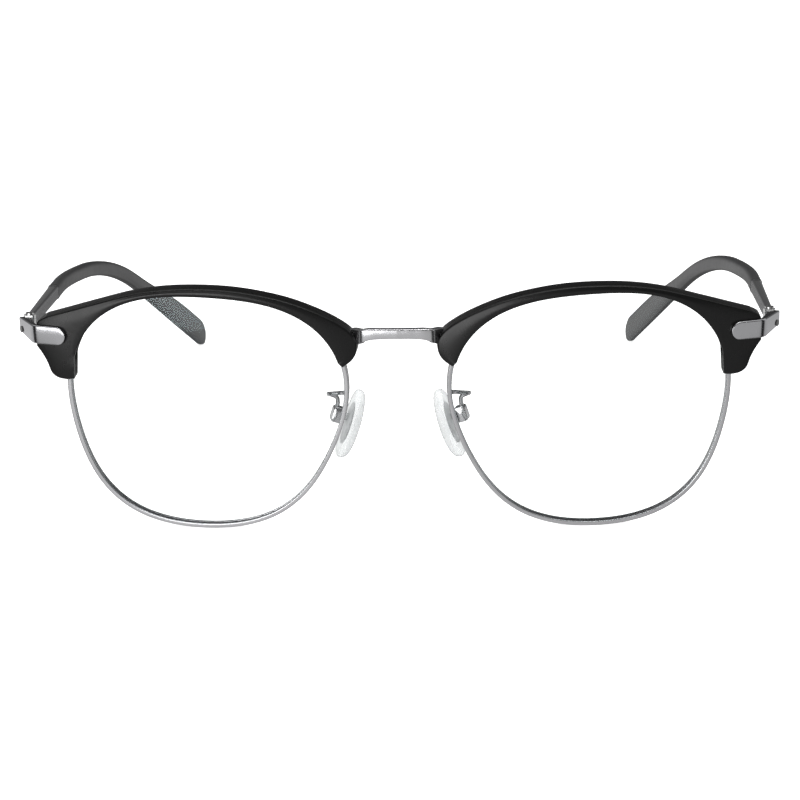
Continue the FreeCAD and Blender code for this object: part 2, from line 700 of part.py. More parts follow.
# ---------------------------------------------------------------- nose pads
BOX_WALL = "0.25"                          # the box's back wall
HEAD_RIM = "0.25"                          # how much wider the pad screw's head is
PAD_SCREW_HEAD = "0.3"
LUG_BITE = "0.2"                           # how far the lug's web runs into the plate
PAD_ROUND = 0.8                            # fillet of the pad's rims
FLAT = 0.01                                # an edge with less height than this is level
for name, side in SIDES.items():
    place = pad_frame(side)

    box = new_body(f"pad_box_{name}")
    block = sketch_on(box, "YZ_Plane", f"box_block_{name}")
    rectangle(block, ("-dimensions.box_long / 2", "-dimensions.box_back"),
              ("dimensions.box_long / 2", "dimensions.box_mouth"))
    pad_feature(box, block, "dimensions.box_wide", f"box_block_pad_{name}")
    mouth = sketch_on(box, "YZ_Plane", f"box_mouth_{name}")
    rectangle(mouth, ("-dimensions.box_long", f"-dimensions.box_back + {BOX_WALL}"),
              ("dimensions.box_long", "dimensions.box_mouth + 1"))
    mouth_wide = "dimensions.lug_wide + 2 * dimensions.lug_play"
    pad_feature(box, mouth, mouth_wide, f"box_mouth_cut_{name}", "PartDesign::Pocket")
    bore = sketch_on(box, "YZ_Plane", f"box_bore_{name}")
    circle(bore, "dimensions.pad_screw_radius")
    pad_feature(box, bore, "dimensions.box_wide + 1", f"box_bore_cut_{name}", "PartDesign::Pocket")
    box.Placement = place

    insert = new_body(f"pad_insert_{name}")
    barrel = sketch_on(insert, "YZ_Plane", f"insert_lug_{name}")
    circle(barrel, "dimensions.lug_radius")
    pad_feature(insert, barrel, "dimensions.lug_wide", f"insert_lug_pad_{name}")
    web = sketch_on(insert, "YZ_Plane", f"insert_web_{name}")
    web_top = f"dimensions.pad_back + {LUG_BITE}"
    rectangle(web, ("-dimensions.lug_radius", "0"), ("dimensions.lug_radius", web_top))
    pad_feature(insert, web, "dimensions.lug_wide", f"insert_web_pad_{name}")
    plate_sketch = sketch_on(insert, "YZ_Plane", f"insert_plate_{name}")
    plate_low = ("-dimensions.insert_long / 2 - dimensions.pad_drop", "dimensions.pad_back")
    plate_high = ("dimensions.insert_long / 2 - dimensions.pad_drop",
                  "dimensions.pad_back + dimensions.insert_thick")
    rectangle(plate_sketch, plate_low, plate_high)
    pad_feature(insert, plate_sketch, "dimensions.insert_wide", f"insert_plate_pad_{name}")
    bore = sketch_on(insert, "YZ_Plane", f"insert_bore_{name}")
    circle(bore, "dimensions.pad_screw_radius + dimensions.pin_play")
    pad_feature(insert, bore, "dimensions.box_wide + 1", f"insert_bore_cut_{name}", "PartDesign::Pocket")
    insert.Placement = place

    half_box = "dimensions.box_wide / 2"
    screw = headed_pin(f"pad_screw_{name}", "dimensions.pad_screw_radius",
                       f"dimensions.pad_screw_radius + {HEAD_RIM}",
                       f"-{half_box}", half_box, f"{half_box} + {PAD_SCREW_HEAD}")
    forwards = FreeCAD.Rotation(Y_AXIS, -90 if side > 0 else 90)
    screw.Placement = FreeCAD.Placement(place.Base, place.Rotation.multiply(forwards))

doc.recompute()

for name, side in SIDES.items():
    place = pad_frame(side)
    long, wide = dim("pad_long") / 2, dim("pad_wide") / 2
    drop = dim("pad_drop")
    low, high = dim("pad_back"), dim("pad_back") + dim("pad_thick")
    outline = Part.Wire(Part.Ellipse(V(0, 0, 0), long, wide).toShape())
    outline.rotate(V(0, 0, 0), Z_AXIS, 90)
    outline.translate(V(0, -drop, low))
    pad = Part.Face(outline).extrude(V(0, 0, high - low))
    soft_edges = [edge for edge in pad.Edges if edge.BoundBox.ZLength < FLAT]
    pad = pad.makeFillet(PAD_ROUND, soft_edges)
    hidden = FINISHED[f"pad_insert_{name}"].Shape.copy()
    hidden.Placement = FreeCAD.Placement()
    add_shape(f"nose_pad_{name}", pad.cut(hidden), place)

# ---------------------------------------------------------------- rim lock
lock_y = curve_depth(dim("lock_x"), level, -dim("lock_back"))
lock_centre = V(dim("lock_x"), lock_y, level)
half_split = dim("rim_split") / 2
lock_blocks = {}
for part_name, low in (("upper", half_split), ("lower", -half_split - dim("block_tall"))):
    block = Part.makeCylinder(dim("block_radius"), dim("block_tall"), lock_centre + V(0, 0, low))
    lock_blocks[part_name] = to_world(block)


def mirrored_axis_placement(point, direction, side):
    """Placement that puts a body's Z axis along a direction, mirrored to the given side."""
    flipped_point = V(side * point.x, point.y, point.z)
    flipped_direction = V(side * direction.x, direction.y, direction.z)
    return FreeCAD.Placement(flipped_point, FreeCAD.Rotation(Z_AXIS, flipped_direction))


half_lock = "(dimensions.block_tall + dimensions.rim_split / 2)"
for name, side in SIDES.items():
    screw = headed_pin(f"closing_screw_{name}", "dimensions.pin_radius", "dimensions.screw_head_radius",
                       f"-{half_lock}", half_lock, f"{half_lock} + dimensions.screw_head_tall")
    lock_up = EYE.Rotation.multVec(Z_AXIS)
    screw.Placement = mirrored_axis_placement(EYE.multVec(lock_centre), lock_up * -1, side)

# ---------------------------------------------------------------- rivets
RIVET_SHARE = 0.16                         # how far forwards of the strap's back end
RIVET_RISE = 0.75                          # above the strap's lower edge
side_run = end_quad[0] - front_quad[0]
side_out = V(side_run.y, -side_run.x, 0).normalize()
rivet_point = end_quad[3] + (front_quad[3] - end_quad[3]) * RIVET_SHARE + V(0, 0, RIVET_RISE)
for name, side in SIDES.items():
    rivet = headed_pin(f"strap_rivet_{name}", "dimensions.rivet_radius", "dimensions.rivet_head_radius",
                       "-dimensions.rivet_deep", "0", "dimensions.rivet_head_tall")
    rivet.Placement = mirrored_axis_placement(rivet_point, side_out, side)
doc.recompute()

brow_rivets = []
for rivet_x in (dim("strap_inner_x") + half_strap, corner_x - half_strap):
    start_y = curve_depth(rivet_x, level, dim("brow_front"))
    pin = Part.makeCylinder(dim("rivet_radius"), dim("rivet_deep"), V(rivet_x, start_y, level), Y_AXIS)
    brow_rivets.append(to_world(pin))
brow_rivet_pair = Part.makeCompound(brow_rivets)

# ---------------------------------------------------------------- fit the front pieces to each other
eyewire = to_world(eyewire)
lens = to_world(lens)
bridge = bridge.cut(eyewire).cut(eyewire.mirror(V(0, 0, 0), X_AXIS))
strap = strap.cut(FINISHED["front_hinge_left"].Shape).cut(FINISHED["strap_rivet_left"].Shape)
for rivet in brow_rivets:
    strap = strap.cut(rivet)
brow = to_world(brow).cut(bridge).cut(strap)
for part in brow_rivets + list(lock_blocks.values()) + [FINISHED["closing_screw_left"].Shape]:
    brow = brow.cut(part)
for part_name, block in lock_blocks.items():
    fitted = block.cut(eyewire).cut(lens).cut(FINISHED["closing_screw_left"].Shape)
    add_pair(f"closing_block_{part_name}", fitted)

add_pair("eyewire", eyewire)
add_pair("lens", lens)
add_pair("brow", brow)
add_pair("endpiece_strap", strap)
add_pair("brow_rivets", brow_rivet_pair)
add_pair("pad_arm", pad_arm.cut(eyewire).cut(lens).cut(FINISHED["pad_box_left"].Shape))
add_shape("bridge", bridge)

# ---------------------------------------------------------------- checks, origin and export
doc.recompute()
for obj in doc.Objects:
    if "Invalid" in obj.State or "Error" in obj.State:
        raise RuntimeError(f"{obj.Label}: {obj.State}")

bounds = FreeCAD.BoundBox()
for label, obj in FINISHED.items():
    if obj.Shape.isNull() or not obj.Shape.isValid():
        raise RuntimeError(f"{label} has no valid shape")
    bounds.add(obj.Shape.BoundBox)

shift = V(-bounds.Center.x, -bounds.Center.y, -bounds.ZMin)
for obj in FINISHED.values():
    placement = obj.Placement
    placement.Base = placement.Base + shift
    obj.Placement = placement
doc.recompute()

os.makedirs("parts", exist_ok=True)
for label, obj in FINISHED.items():
    obj.Shape.exportStep(f"parts/{label}.step")
    print(f"{label}: {obj.Shape.Volume:.2f} mm3, {len(obj.Shape.Solids)} solid")
print("size", bounds.XLength, bounds.YLength, bounds.ZLength, "shift", shift)
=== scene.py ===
"""Half rim eyeglasses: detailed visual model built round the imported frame.

Drawing coordinates are millimetres about a point on the midline between the lenses: +X towards the
wearer's left, +Y backwards along the temples, +Z up.  One matrix, found from the left hinge, takes them
into the row frame in metres.  Every pair of pieces is drawn on the wearer's left and mirrored.
"""
import json
import logging
import math
from dataclasses import dataclass, field
from enum import Enum
from typing import Callable, Iterable, Sequence

import bmesh
import bpy
from mathutils import Euler, Matrix, Vector


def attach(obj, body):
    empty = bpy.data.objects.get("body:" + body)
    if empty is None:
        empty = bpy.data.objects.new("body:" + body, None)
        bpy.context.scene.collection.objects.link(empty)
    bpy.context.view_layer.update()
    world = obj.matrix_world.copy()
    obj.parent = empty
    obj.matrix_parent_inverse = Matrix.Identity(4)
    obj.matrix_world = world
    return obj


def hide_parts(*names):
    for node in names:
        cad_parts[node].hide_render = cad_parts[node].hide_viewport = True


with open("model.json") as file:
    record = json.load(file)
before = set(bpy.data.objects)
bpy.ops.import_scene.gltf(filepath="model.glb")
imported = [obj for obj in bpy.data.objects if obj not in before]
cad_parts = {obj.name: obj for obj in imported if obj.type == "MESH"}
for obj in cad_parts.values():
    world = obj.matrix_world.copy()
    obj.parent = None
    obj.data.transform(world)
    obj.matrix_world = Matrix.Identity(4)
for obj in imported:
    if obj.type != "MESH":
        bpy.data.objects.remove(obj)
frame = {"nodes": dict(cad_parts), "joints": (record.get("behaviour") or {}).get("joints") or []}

LOG = logging.getLogger("eyeglasses")
MM = 0.001
Point = tuple[float, float]


class Side(Enum):
    """The wearer's side a piece belongs to, with the sign of its X."""

    LEFT = ("left", 1)
    RIGHT = ("right", -1)

    def __init__(self, word: str, sign: int) -> None:
        self.word = word
        self.sign = sign

    def mirror(self) -> Matrix:
        """Matrix that takes the drawing, made for the wearer's left, to this side."""
        return Matrix.Scale(self.sign, 4, (1, 0, 0))


class Body(Enum):
    """The rigid bodies of the frame."""

    FRONT = "front"
    TEMPLE = "temple_{}"
    PAD = "pad_{}"

    def of(self, side: Side) -> str:
        """Name of this body on one side."""
        return self.value.format(side.word)


# ------------------------------------------------------------------ frames of reference
@dataclass(frozen=True)
class Drawing:
    """Where the drawing's own frames lie, in drawing millimetres and degrees."""

    pivot: tuple[float, float, float] = (69.2, 10.4, 12.8)
    pad_point: tuple[float, float, float] = (11.8, 7.6, -4.95)
    face_wrap: float = 4.0
    front_lean: float = 3.0
    temple_slope: float = 6.0
    temple_splay: float = 1.0
    pad_splay: float = 12.0
    pad_flare: float = 19.0

    def to_row(self) -> Matrix:
        """Matrix from drawing millimetres to the row frame's metres, found from the left hinge."""
        hinge = next(j for j in frame["joints"] if j["name"] == "temple_left_fold")
        shift = Vector(hinge["pos_m"]) - Vector(self.pivot) * MM
        return Matrix.Translation(shift) @ Matrix.Scale(MM, 4)

    def eye(self) -> Matrix:
        """Matrix of the left eye plane: wrapped about the vertical, then leaned."""
        lean = Matrix.Rotation(math.radians(self.front_lean), 4, "X")
        return lean @ Matrix.Rotation(math.radians(self.face_wrap), 4, "Z")

    def temple(self) -> Matrix:
        """Matrix of the left temple: x outwards, y back along it, z up its hinge."""
        splay, slope = math.radians(self.temple_splay), math.radians(self.temple_slope)
        along = Vector((math.sin(splay), math.cos(splay) * math.cos(slope), -math.cos(splay) * math.sin(slope)))
        up = Vector((0.0, math.sin(slope), math.cos(slope)))
        return axes_matrix(along.cross(up), along, up, self.pivot)

    def pad(self) -> Matrix:
        """Matrix of the left pad: x along its screw, y up the pad, z towards the nose."""
        splay, flare = math.radians(self.pad_splay), math.radians(self.pad_flare)
        level = Vector((-math.cos(splay), math.sin(splay), 0.0))
        towards = level * math.cos(flare) - Vector((0.0, 0.0, math.sin(flare)))
        up = Vector((0.0, 0.0, math.cos(flare))) + level * math.sin(flare)
        return axes_matrix(up.cross(towards), up, towards, self.pad_point)


def axes_matrix(x: Vector, y: Vector, z: Vector, origin: Sequence[float]) -> Matrix:
    """Matrix with the given axes and origin."""
    turn = Matrix((x, y, z)).transposed().to_4x4()
    return Matrix.Translation(Vector(origin)) @ turn


DRAWING = Drawing()
ROW = DRAWING.to_row()
EYE = DRAWING.eye()
TEMPLE = DRAWING.temple()
PAD = DRAWING.pad()


# ------------------------------------------------------------------ curves and sections
def smooth_through(points: Sequence[Point], steps: int) -> list[Point]:
    """Centripetal spline through points.

    Args:
        points: the points in order.
        steps: samples for each gap between two points.

    Returns:
        The samples, first and last point included.
    """
    pts = [Vector(p) for p in points]
    pts = [pts[0] * 2 - pts[1]] + pts + [pts[-1] * 2 - pts[-2]]
    samples: list[Point] = []
    for i in range(1, len(pts) - 2):
        p0, p1, p2, p3 = pts[i - 1:i + 3]
        knots = [0.0]
        for a, b in ((p0, p1), (p1, p2), (p2, p3)):
            knots.append(knots[-1] + max(1e-6, (b - a).length ** 0.5))
        t0, t1, t2, t3 = knots
        for k in range(steps):
            t = t1 + (t2 - t1) * k / steps
            a1 = p0 * ((t1 - t) / (t1 - t0)) + p1 * ((t - t0) / (t1 - t0))
            a2 = p1 * ((t2 - t) / (t2 - t1)) + p2 * ((t - t1) / (t2 - t1))
            a3 = p2 * ((t3 - t) / (t3 - t2)) + p3 * ((t - t2) / (t3 - t2))
            b1 = a1 * ((t2 - t) / (t2 - t0)) + a2 * ((t - t0) / (t2 - t0))
            b2 = a2 * ((t3 - t) / (t3 - t1)) + a3 * ((t - t1) / (t3 - t1))
            samples.append(tuple(b1 * ((t2 - t) / (t2 - t1)) + b2 * ((t - t1) / (t2 - t1))))
    samples.append(tuple(pts[-2]))
    return samples


def graph(points: Sequence[Point]) -> Callable[[float], float]:
    """Smooth function through (input, output) points, constant beyond both ends."""
    samples = smooth_through(points, 16)

    def value(x: float) -> float:
        if x <= samples[0][0]:
            return samples[0][1]
        for (x0, y0), (x1, y1) in zip(samples, samples[1:]):
            if x <= x1:
                return y0 + (y1 - y0) * (x - x0) / max(1e-9, x1 - x0)
        return samples[-1][1]

    return value


def smooth_step(value: float, start: float, end: float) -> float:
    """0 before start, 1 after end, and a smooth step between."""
    share = min(1.0, max(0.0, (value - start) / (end - start)))
    return share * share * (3 - 2 * share)


def runs_along(points: Sequence[Point]) -> list[float]:
    """Distance along a row of points up to each of them."""
    runs = [0.0]
    for one, two in zip(points, points[1:]):
        runs.append(runs[-1] + (Vector(two) - Vector(one)).length)
    return runs


def rounded_box(width: float, height: float, radii: Sequence[float], steps: int = 4) -> list[Point]:
    """Closed rectangle about the origin with its four corners rounded.

    Args:
        width: full size along the first axis.
        height: full size along the second axis.
        radii: corner radii at (+,+), (-,+), (-,-) and (+,-).
        steps: divisions of each corner.

    Returns:
        The points, counter-clockwise.
    """
    signs = ((1, 1), (-1, 1), (-1, -1), (1, -1))
    points = []
    for corner, ((sx, sy), radius) in enumerate(zip(signs, radii)):
        cx, cy = sx * (width / 2 - radius), sy * (height / 2 - radius)
        for k in range(steps + 1):
            angle = math.pi / 2 * (corner + k / steps)
            points.append((cx + radius * math.cos(angle), cy + radius * math.sin(angle)))
    return points


def disc_points(radius: float, count: int) -> list[Point]:
    """Points of a circle about the origin."""
    turns = (2 * math.pi * k / count for k in range(count))
    return [(radius * math.cos(a), radius * math.sin(a)) for a in turns]


# ------------------------------------------------------------------ meshes
@dataclass
class Shell:
    """Points and faces that are being put together, in drawing millimetres."""

    points: list[Vector] = field(default_factory=list)
    faces: list[tuple[int, ...]] = field(default_factory=list)

    def ring(self, points: Iterable[Vector]) -> list[int]:
        """Add a ring of points and return their numbers."""
        first = len(self.points)
        self.points.extend(Vector(p) for p in points)
        return list(range(first, len(self.points)))

    def band(self, one: list[int], two: list[int]) -> None:
        """Quads between two closed rings of the same length."""
        count = len(one)
        for i in range(count):
            j = (i + 1) % count
            self.faces.append((one[i], one[j], two[j], two[i]))

    def cap(self, ring: list[int]) -> None:
        """Close a ring with a fan about its middle."""
        middle = sum((self.points[i] for i in ring), Vector()) / len(ring)
        centre = self.ring([middle])[0]
        count = len(ring)
        for i in range(count):
            self.faces.append((ring[i], ring[(i + 1) % count], centre))

    def loft(self, rings: Sequence[Iterable[Vector]], caps: bool = True) -> "Shell":
        """Skin a row of closed rings, with both ends closed where asked."""
        numbers = [self.ring(ring) for ring in rings]
        for one, two in zip(numbers, numbers[1:]):
            self.band(one, two)
        if caps:
            self.cap(numbers[0])
            self.cap(numbers[-1])
        return self

    def moved(self, matrix: Matrix) -> "Shell":
        """The same shell with its points moved by a matrix."""
        return Shell([matrix @ p for p in self.points], list(self.faces))

    def piece(self, name: str, side: Side = Side.LEFT, crease: float = 38.0) -> bpy.types.Object:
        """Mesh object in the row frame.

        Args:
            name: the piece's name.
            side: RIGHT mirrors the drawing.
            crease: edges sharper than this many degrees stay sharp.

        Returns:
            The object at the origin, its place in its mesh.
        """
        mesh = bpy.data.meshes.new(name)
        mesh.from_pydata([ROW @ side.mirror() @ p for p in self.points], [], self.faces)
        return finish_mesh(name, mesh, crease)


def linked(name: str, data: bpy.types.ID) -> bpy.types.Object:
    """New object that shows the data, linked into the scene."""
    obj = bpy.data.objects.new(name, data)
    bpy.context.scene.collection.objects.link(obj)
    return obj


def finish_mesh(name: str, mesh: bpy.types.Mesh, crease: float) -> bpy.types.Object:
    """Merge doubles, turn the faces outwards, shade smooth with sharp creases and link an object."""
    work = bmesh.new()
    work.from_mesh(mesh)
    bmesh.ops.remove_doubles(work, verts=work.verts, dist=1e-7)
    bmesh.ops.dissolve_degenerate(work, edges=work.edges, dist=1e-8)
    bmesh.ops.recalc_face_normals(work, faces=work.faces)
    work.to_mesh(mesh)
    work.free()
    mesh.shade_smooth()
    mesh.set_sharp_from_angle(angle=math.radians(crease))
    return linked(name, mesh)


def plain_copy(obj: bpy.types.Object, name: str) -> bpy.types.Mesh:
    """Mesh of an object with its modifiers applied; the object is removed."""
    graph_now = bpy.context.evaluated_depsgraph_get()
    mesh = bpy.data.meshes.new_from_object(obj.evaluated_get(graph_now), depsgraph=graph_now)
    mesh.name = name
    bpy.data.objects.remove(obj)
    return mesh


# ------------------------------------------------------------------ shader maths
class Value:
    """A number socket on which Python maths adds Math nodes."""

    def __init__(self, bench: "Bench", socket: bpy.types.NodeSocket) -> None:
        self.bench = bench
        self.socket = socket

    def _math(self, operation: str, one: "Value | float", two: "Value | float" = 0.0) -> "Value":
        node = self.bench.node("ShaderNodeMath", {"operation": operation}, {0: one, 1: two})
        return Value(self.bench, node.outputs[0])

    def __add__(self, other: "Value | float") -> "Value":
        """Sum."""
        return self._math("ADD", self, other)

    __radd__ = __add__

    def __mul__(self, other: "Value | float") -> "Value":
        """Product."""
        return self._math("MULTIPLY", self, other)

    __rmul__ = __mul__

    def __sub__(self, other: "Value | float") -> "Value":
        """Difference."""
        return self._math("SUBTRACT", self, other)

    def __rsub__(self, other: "Value | float") -> "Value":
        """Difference with this value taken away."""
        return self._math("SUBTRACT", other, self)

    def __pow__(self, other: "Value | float") -> "Value":
        """Power."""
        return self._math("POWER", self, other)


class Bench:
    """One material's node tree and the calls that add to it."""

    def __init__(self, name: str) -> None:
        self.material = bpy.data.materials.new(name)
        self.material.use_nodes = True
        self.tree = self.material.node_tree
        self.tree.nodes.clear()

    def node(self, kind: str, settings: dict | None = None, values: dict | None = None) -> bpy.types.Node:
        """Add a node.

        Args:
            kind: the node's type.
            settings: attributes, set first.
            values: numbers, colours, sockets or Values for its inputs, by name or number.

        Returns:
            The node.
        """
        made = self.tree.nodes.new(kind)
        for key, value in (settings or {}).items():
            setattr(made, key, value)
        for key, value in (values or {}).items():
            self.feed(made.inputs[key], value)
        return made

    def feed(self, socket: bpy.types.NodeSocket, value: object) -> None:
        """Give one socket a number, a colour or a link."""
        if isinstance(value, Value):
            value = value.socket
        if isinstance(value, bpy.types.NodeSocket):
            self.tree.links.new(value, socket)
        else:
            socket.default_value = value

    def place(self) -> bpy.types.NodeSocket:
        """Object coordinates in metres."""
        return self.node("ShaderNodeTexCoord").outputs["Object"]

    def noise(self, scale: float, detail: float = 3.0, stretch: Sequence[float] = (1, 1, 1)) -> Value:
        """Noise with a number of features per metre, stretched along the axes."""
        mapping = self.node("ShaderNodeMapping", {}, {"Vector": self.place(), "Scale": tuple(stretch)})
        made = self.node("ShaderNodeTexNoise", {}, {"Vector": mapping.outputs[0], "Scale": scale, "Detail": detail})
        return Value(self, made.outputs[0])

    def shade_between(self, share: Value, dark: Sequence[float], light: Sequence[float]) -> bpy.types.NodeSocket:
        """Colour between two, by a share."""
        made = self.node("ShaderNodeMix", {"data_type": "RGBA"}, {0: share})
        made.inputs[6].default_value = (*dark, 1)
        made.inputs[7].default_value = (*light, 1)
        return made.outputs[2]

    def bump(self, height: Value, distance: float, strength: float = 1.0) -> bpy.types.NodeSocket:
        """Normal from a height, in metres."""
        made = self.node("ShaderNodeBump", {}, {"Height": height, "Distance": distance, "Strength": strength})
        return made.outputs[0]

    def principled(self, values: dict) -> bpy.types.NodeSocket:
        """Principled shader with the given inputs."""
        return self.node("ShaderNodeBsdfPrincipled", {}, values).outputs[0]

    def done(self, shader: bpy.types.NodeSocket) -> bpy.types.Material:
        """Send a shader to the output and return the material."""
        self.node("ShaderNodeOutputMaterial", {}, {"Surface": shader})
        return self.material


class SkyBench(Bench):
    """The surround's node tree, with the same calls as a material's."""

    def __init__(self, name: str) -> None:
        self.world = bpy.data.worlds.new(name)
        bpy.context.scene.world = self.world
        self.world.use_nodes = True
        self.tree = self.world.node_tree
        self.tree.nodes.clear()


# ------------------------------------------------------------------ finishes
@dataclass(frozen=True)
class MouldedPlastic:
    """Satin plastic: nearly even colour, a fine moulded grain and faint rub marks."""

    name: str
    dark: tuple[float, float, float]
    light: tuple[float, float, float]
    roughness: float = 0.28
    rub: float = 0.10
    coat: float = 0.05
    shine: float = 0.18

    def make(self) -> bpy.types.Material:
        """Build the material."""
        bench = Bench(self.name)
        cloud = bench.noise(90.0, 4.0)
        rub = bench.noise(420.0, 5.0, (1.0, 2.4, 1.0))
        grain = bench.noise(5200.0, 2.0)
        shader = bench.principled({
            "Base Color": bench.shade_between(cloud, self.dark, self.light),
            "Roughness": rub * self.rub + (self.roughness - self.rub / 2),
            "Coat Weight": self.coat,
            "Coat Roughness": 0.2,
            "Specular IOR Level": self.shine,
            "Normal": bench.bump(grain, 0.000012, 0.35),
        })
        return bench.done(shader)


@dataclass(frozen=True)
class PlatedMetal:
    """Plated metal with fine polishing lines along one axis."""

    name: str
    dark: tuple[float, float, float]
    light: tuple[float, float, float]
    roughness: float
    spread: float = 0.12
    stretch: tuple[float, float, float] = (0.06, 1.0, 1.0)
    depth: float = 0.000004

    def make(self) -> bpy.types.Material:
        """Build the material."""
        bench = Bench(self.name)
        cloud = bench.noise(160.0, 3.0)
        lines = bench.noise(9000.0, 2.0, self.stretch)
        shader = bench.principled({
            "Base Color": bench.shade_between(cloud, self.dark, self.light),
            "Metallic": 1.0,
            "Roughness": lines * self.spread + (self.roughness - self.spread / 2),
            "Normal": bench.bump(lines, self.depth, 0.4),
        })
        return bench.done(shader)


@dataclass(frozen=True)
class ClearLens:
    """Thin clear lens: what is behind shows through, with a weak cool reflection."""

    name: str = "clear lens"
    reflect: float = 0.16
    tint: tuple[float, float, float, float] = (0.66, 0.80, 0.84, 1.0)

    def make(self) -> bpy.types.Material:
        """Build the material."""
        bench = Bench(self.name)
        facing = Value(bench, bench.node("ShaderNodeFresnel", {}, {"IOR": 1.5}).outputs[0])
        gloss = bench.node("ShaderNodeBsdfGlossy", {}, {"Color": self.tint, "Roughness": 0.02}).outputs[0]
        clear = bench.node("ShaderNodeBsdfTransparent", {}, {"Color": (0.985, 0.99, 0.988, 1)}).outputs[0]
        mixed = bench.node("ShaderNodeMixShader", {}, {0: facing * self.reflect, 1: clear, 2: gloss})
        return bench.done(mixed.outputs[0])


@dataclass(frozen=True)
class ClearSilicone:
    """Soft clear silicone: partly see-through, cloudy and wet looking."""

    name: str
    cloud: tuple[float, float, float] = (0.42, 0.43, 0.44)
    clear: tuple[float, float, float] = (0.84, 0.85, 0.85)
    body: float = 0.27
    roughness: float = 0.16

    def make(self) -> bpy.types.Material:
        """Build the material."""
        bench = Bench(self.name)
        haze = bench.noise(340.0, 3.0)
        edge = Value(bench, bench.node("ShaderNodeLayerWeight", {}, {"Blend": 0.35}).outputs["Facing"])
        colour = bench.shade_between(haze, self.cloud, self.clear)
        solid = bench.principled({
            "Base Color": colour,
            "Roughness": haze * 0.1 + self.roughness,
            "IOR": 1.42,
            "Normal": bench.bump(haze, 0.00002, 0.3),
        })
        through = bench.node("ShaderNodeBsdfTransparent", {}, {"Color": (0.93, 0.94, 0.94, 1)}).outputs[0]
        share = edge ** 2.2 * 0.7 + (haze * 0.2 + (self.body - 0.1))
        mixed = bench.node("ShaderNodeMixShader", {}, {0: share, 1: through, 2: solid})
        return bench.done(mixed.outputs[0])


@dataclass
class Finishes:
    """Every material of the glasses."""

    brow: bpy.types.Material = field(init=False)
    sleeve: bpy.types.Material = field(init=False)
    rim: bpy.types.Material = field(init=False)
    strap: bpy.types.Material = field(init=False)
    small: bpy.types.Material = field(init=False)
    rivet: bpy.types.Material = field(init=False)
    lens: bpy.types.Material = field(init=False)
    silicone: bpy.types.Material = field(init=False)
    core: bpy.types.Material = field(init=False)

    def __post_init__(self) -> None:
        self.brow = MouldedPlastic("satin black brow", (0.003, 0.003, 0.003), (0.005, 0.005, 0.005)).make()
        self.sleeve = MouldedPlastic("satin dark sleeve", (0.024, 0.024, 0.025), (0.034, 0.034, 0.035),
                                     roughness=0.4, shine=0.5).make()
        self.rim = PlatedMetal("silver grey rim", (0.36, 0.36, 0.37), (0.44, 0.44, 0.45), 0.24).make()
        self.strap = PlatedMetal("polished gunmetal", (0.30, 0.30, 0.31), (0.36, 0.36, 0.37), 0.19,
                                 stretch=(0.08, 0.3, 1.0)).make()
        self.small = PlatedMetal("turned steel", (0.42, 0.42, 0.42), (0.55, 0.55, 0.55), 0.22,
                                 stretch=(1.0, 1.0, 1.0)).make()
        self.rivet = PlatedMetal("dark rivet", (0.06, 0.06, 0.06), (0.10, 0.10, 0.10), 0.3,
                                 stretch=(1.0, 1.0, 1.0)).make()
        self.lens = ClearLens().make()
        self.silicone = ClearSilicone("clear silicone").make()
        self.core = ClearSilicone("pad core", (0.45, 0.46, 0.47), (0.70, 0.71, 0.72), 0.34, 0.2).make()


def dress(obj: bpy.types.Object, material: bpy.types.Material) -> None:
    """Give an object one material."""
    obj.data.materials.clear()
    obj.data.materials.append(material)


def settle(obj: bpy.types.Object, material: bpy.types.Material, slot: str, body: str, *nodes: str) -> None:
    """Dress a piece, let it ride and let it stand for CAD nodes."""
    dress(obj, material)
    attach(obj, body)
    if nodes:
        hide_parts(*nodes)
    LOG.info("%s rides on %s with %d faces", obj.name, body, len(obj.data.polygons))


# ------------------------------------------------------------------ geometry node trees
class NodeTree:
    """A geometry node tree with named inputs."""

    def __init__(self, name: str, inputs: dict[str, str]) -> None:
        self.tree = bpy.data.node_groups.new(name, "GeometryNodeTree")
        face = self.tree.interface
        face.new_socket("Geometry", in_out="INPUT", socket_type="NodeSocketGeometry")
        for label, kind in inputs.items():
            face.new_socket(label, in_out="INPUT", socket_type=kind)
        face.new_socket("Geometry", in_out="OUTPUT", socket_type="NodeSocketGeometry")
        self.entry = self.tree.nodes.new("NodeGroupInput")
        self.exit = self.tree.nodes.new("NodeGroupOutput")

    def node(self, kind: str, settings: dict | None = None, values: dict | None = None) -> bpy.types.Node:
        """Add a node, its settings first and then its inputs' values or links."""
        made = self.tree.nodes.new(kind)
        for key, value in (settings or {}).items():
            setattr(made, key, value)
        for key, value in (values or {}).items():
            if isinstance(value, bpy.types.NodeSocket):
                self.tree.links.new(value, made.inputs[key])
            else:
                made.inputs[key].default_value = value
        return made

    def close(self, geometry: bpy.types.NodeSocket) -> None:
        """End the tree in Realize Instances and Set Material."""
        real = self.node("GeometryNodeRealizeInstances", {}, {"Geometry": geometry})
        painted = self.node("GeometryNodeSetMaterial", {},
                            {"Geometry": real.outputs[0], "Material": self.entry.outputs["Finish"]})
        self.tree.links.new(painted.outputs[0], self.exit.inputs[0])

    def run(self, obj: bpy.types.Object, values: dict, name: str) -> bpy.types.Mesh:
        """Put the tree on an object, set its inputs by identifier and return the plain mesh."""
        modifier = obj.modifiers.new(name, "NODES")
        modifier.node_group = self.tree
        for item in self.tree.interface.items_tree:
            if item.in_out == "INPUT" and item.name in values:
                modifier[item.identifier] = values[item.name]
        return plain_copy(obj, name)


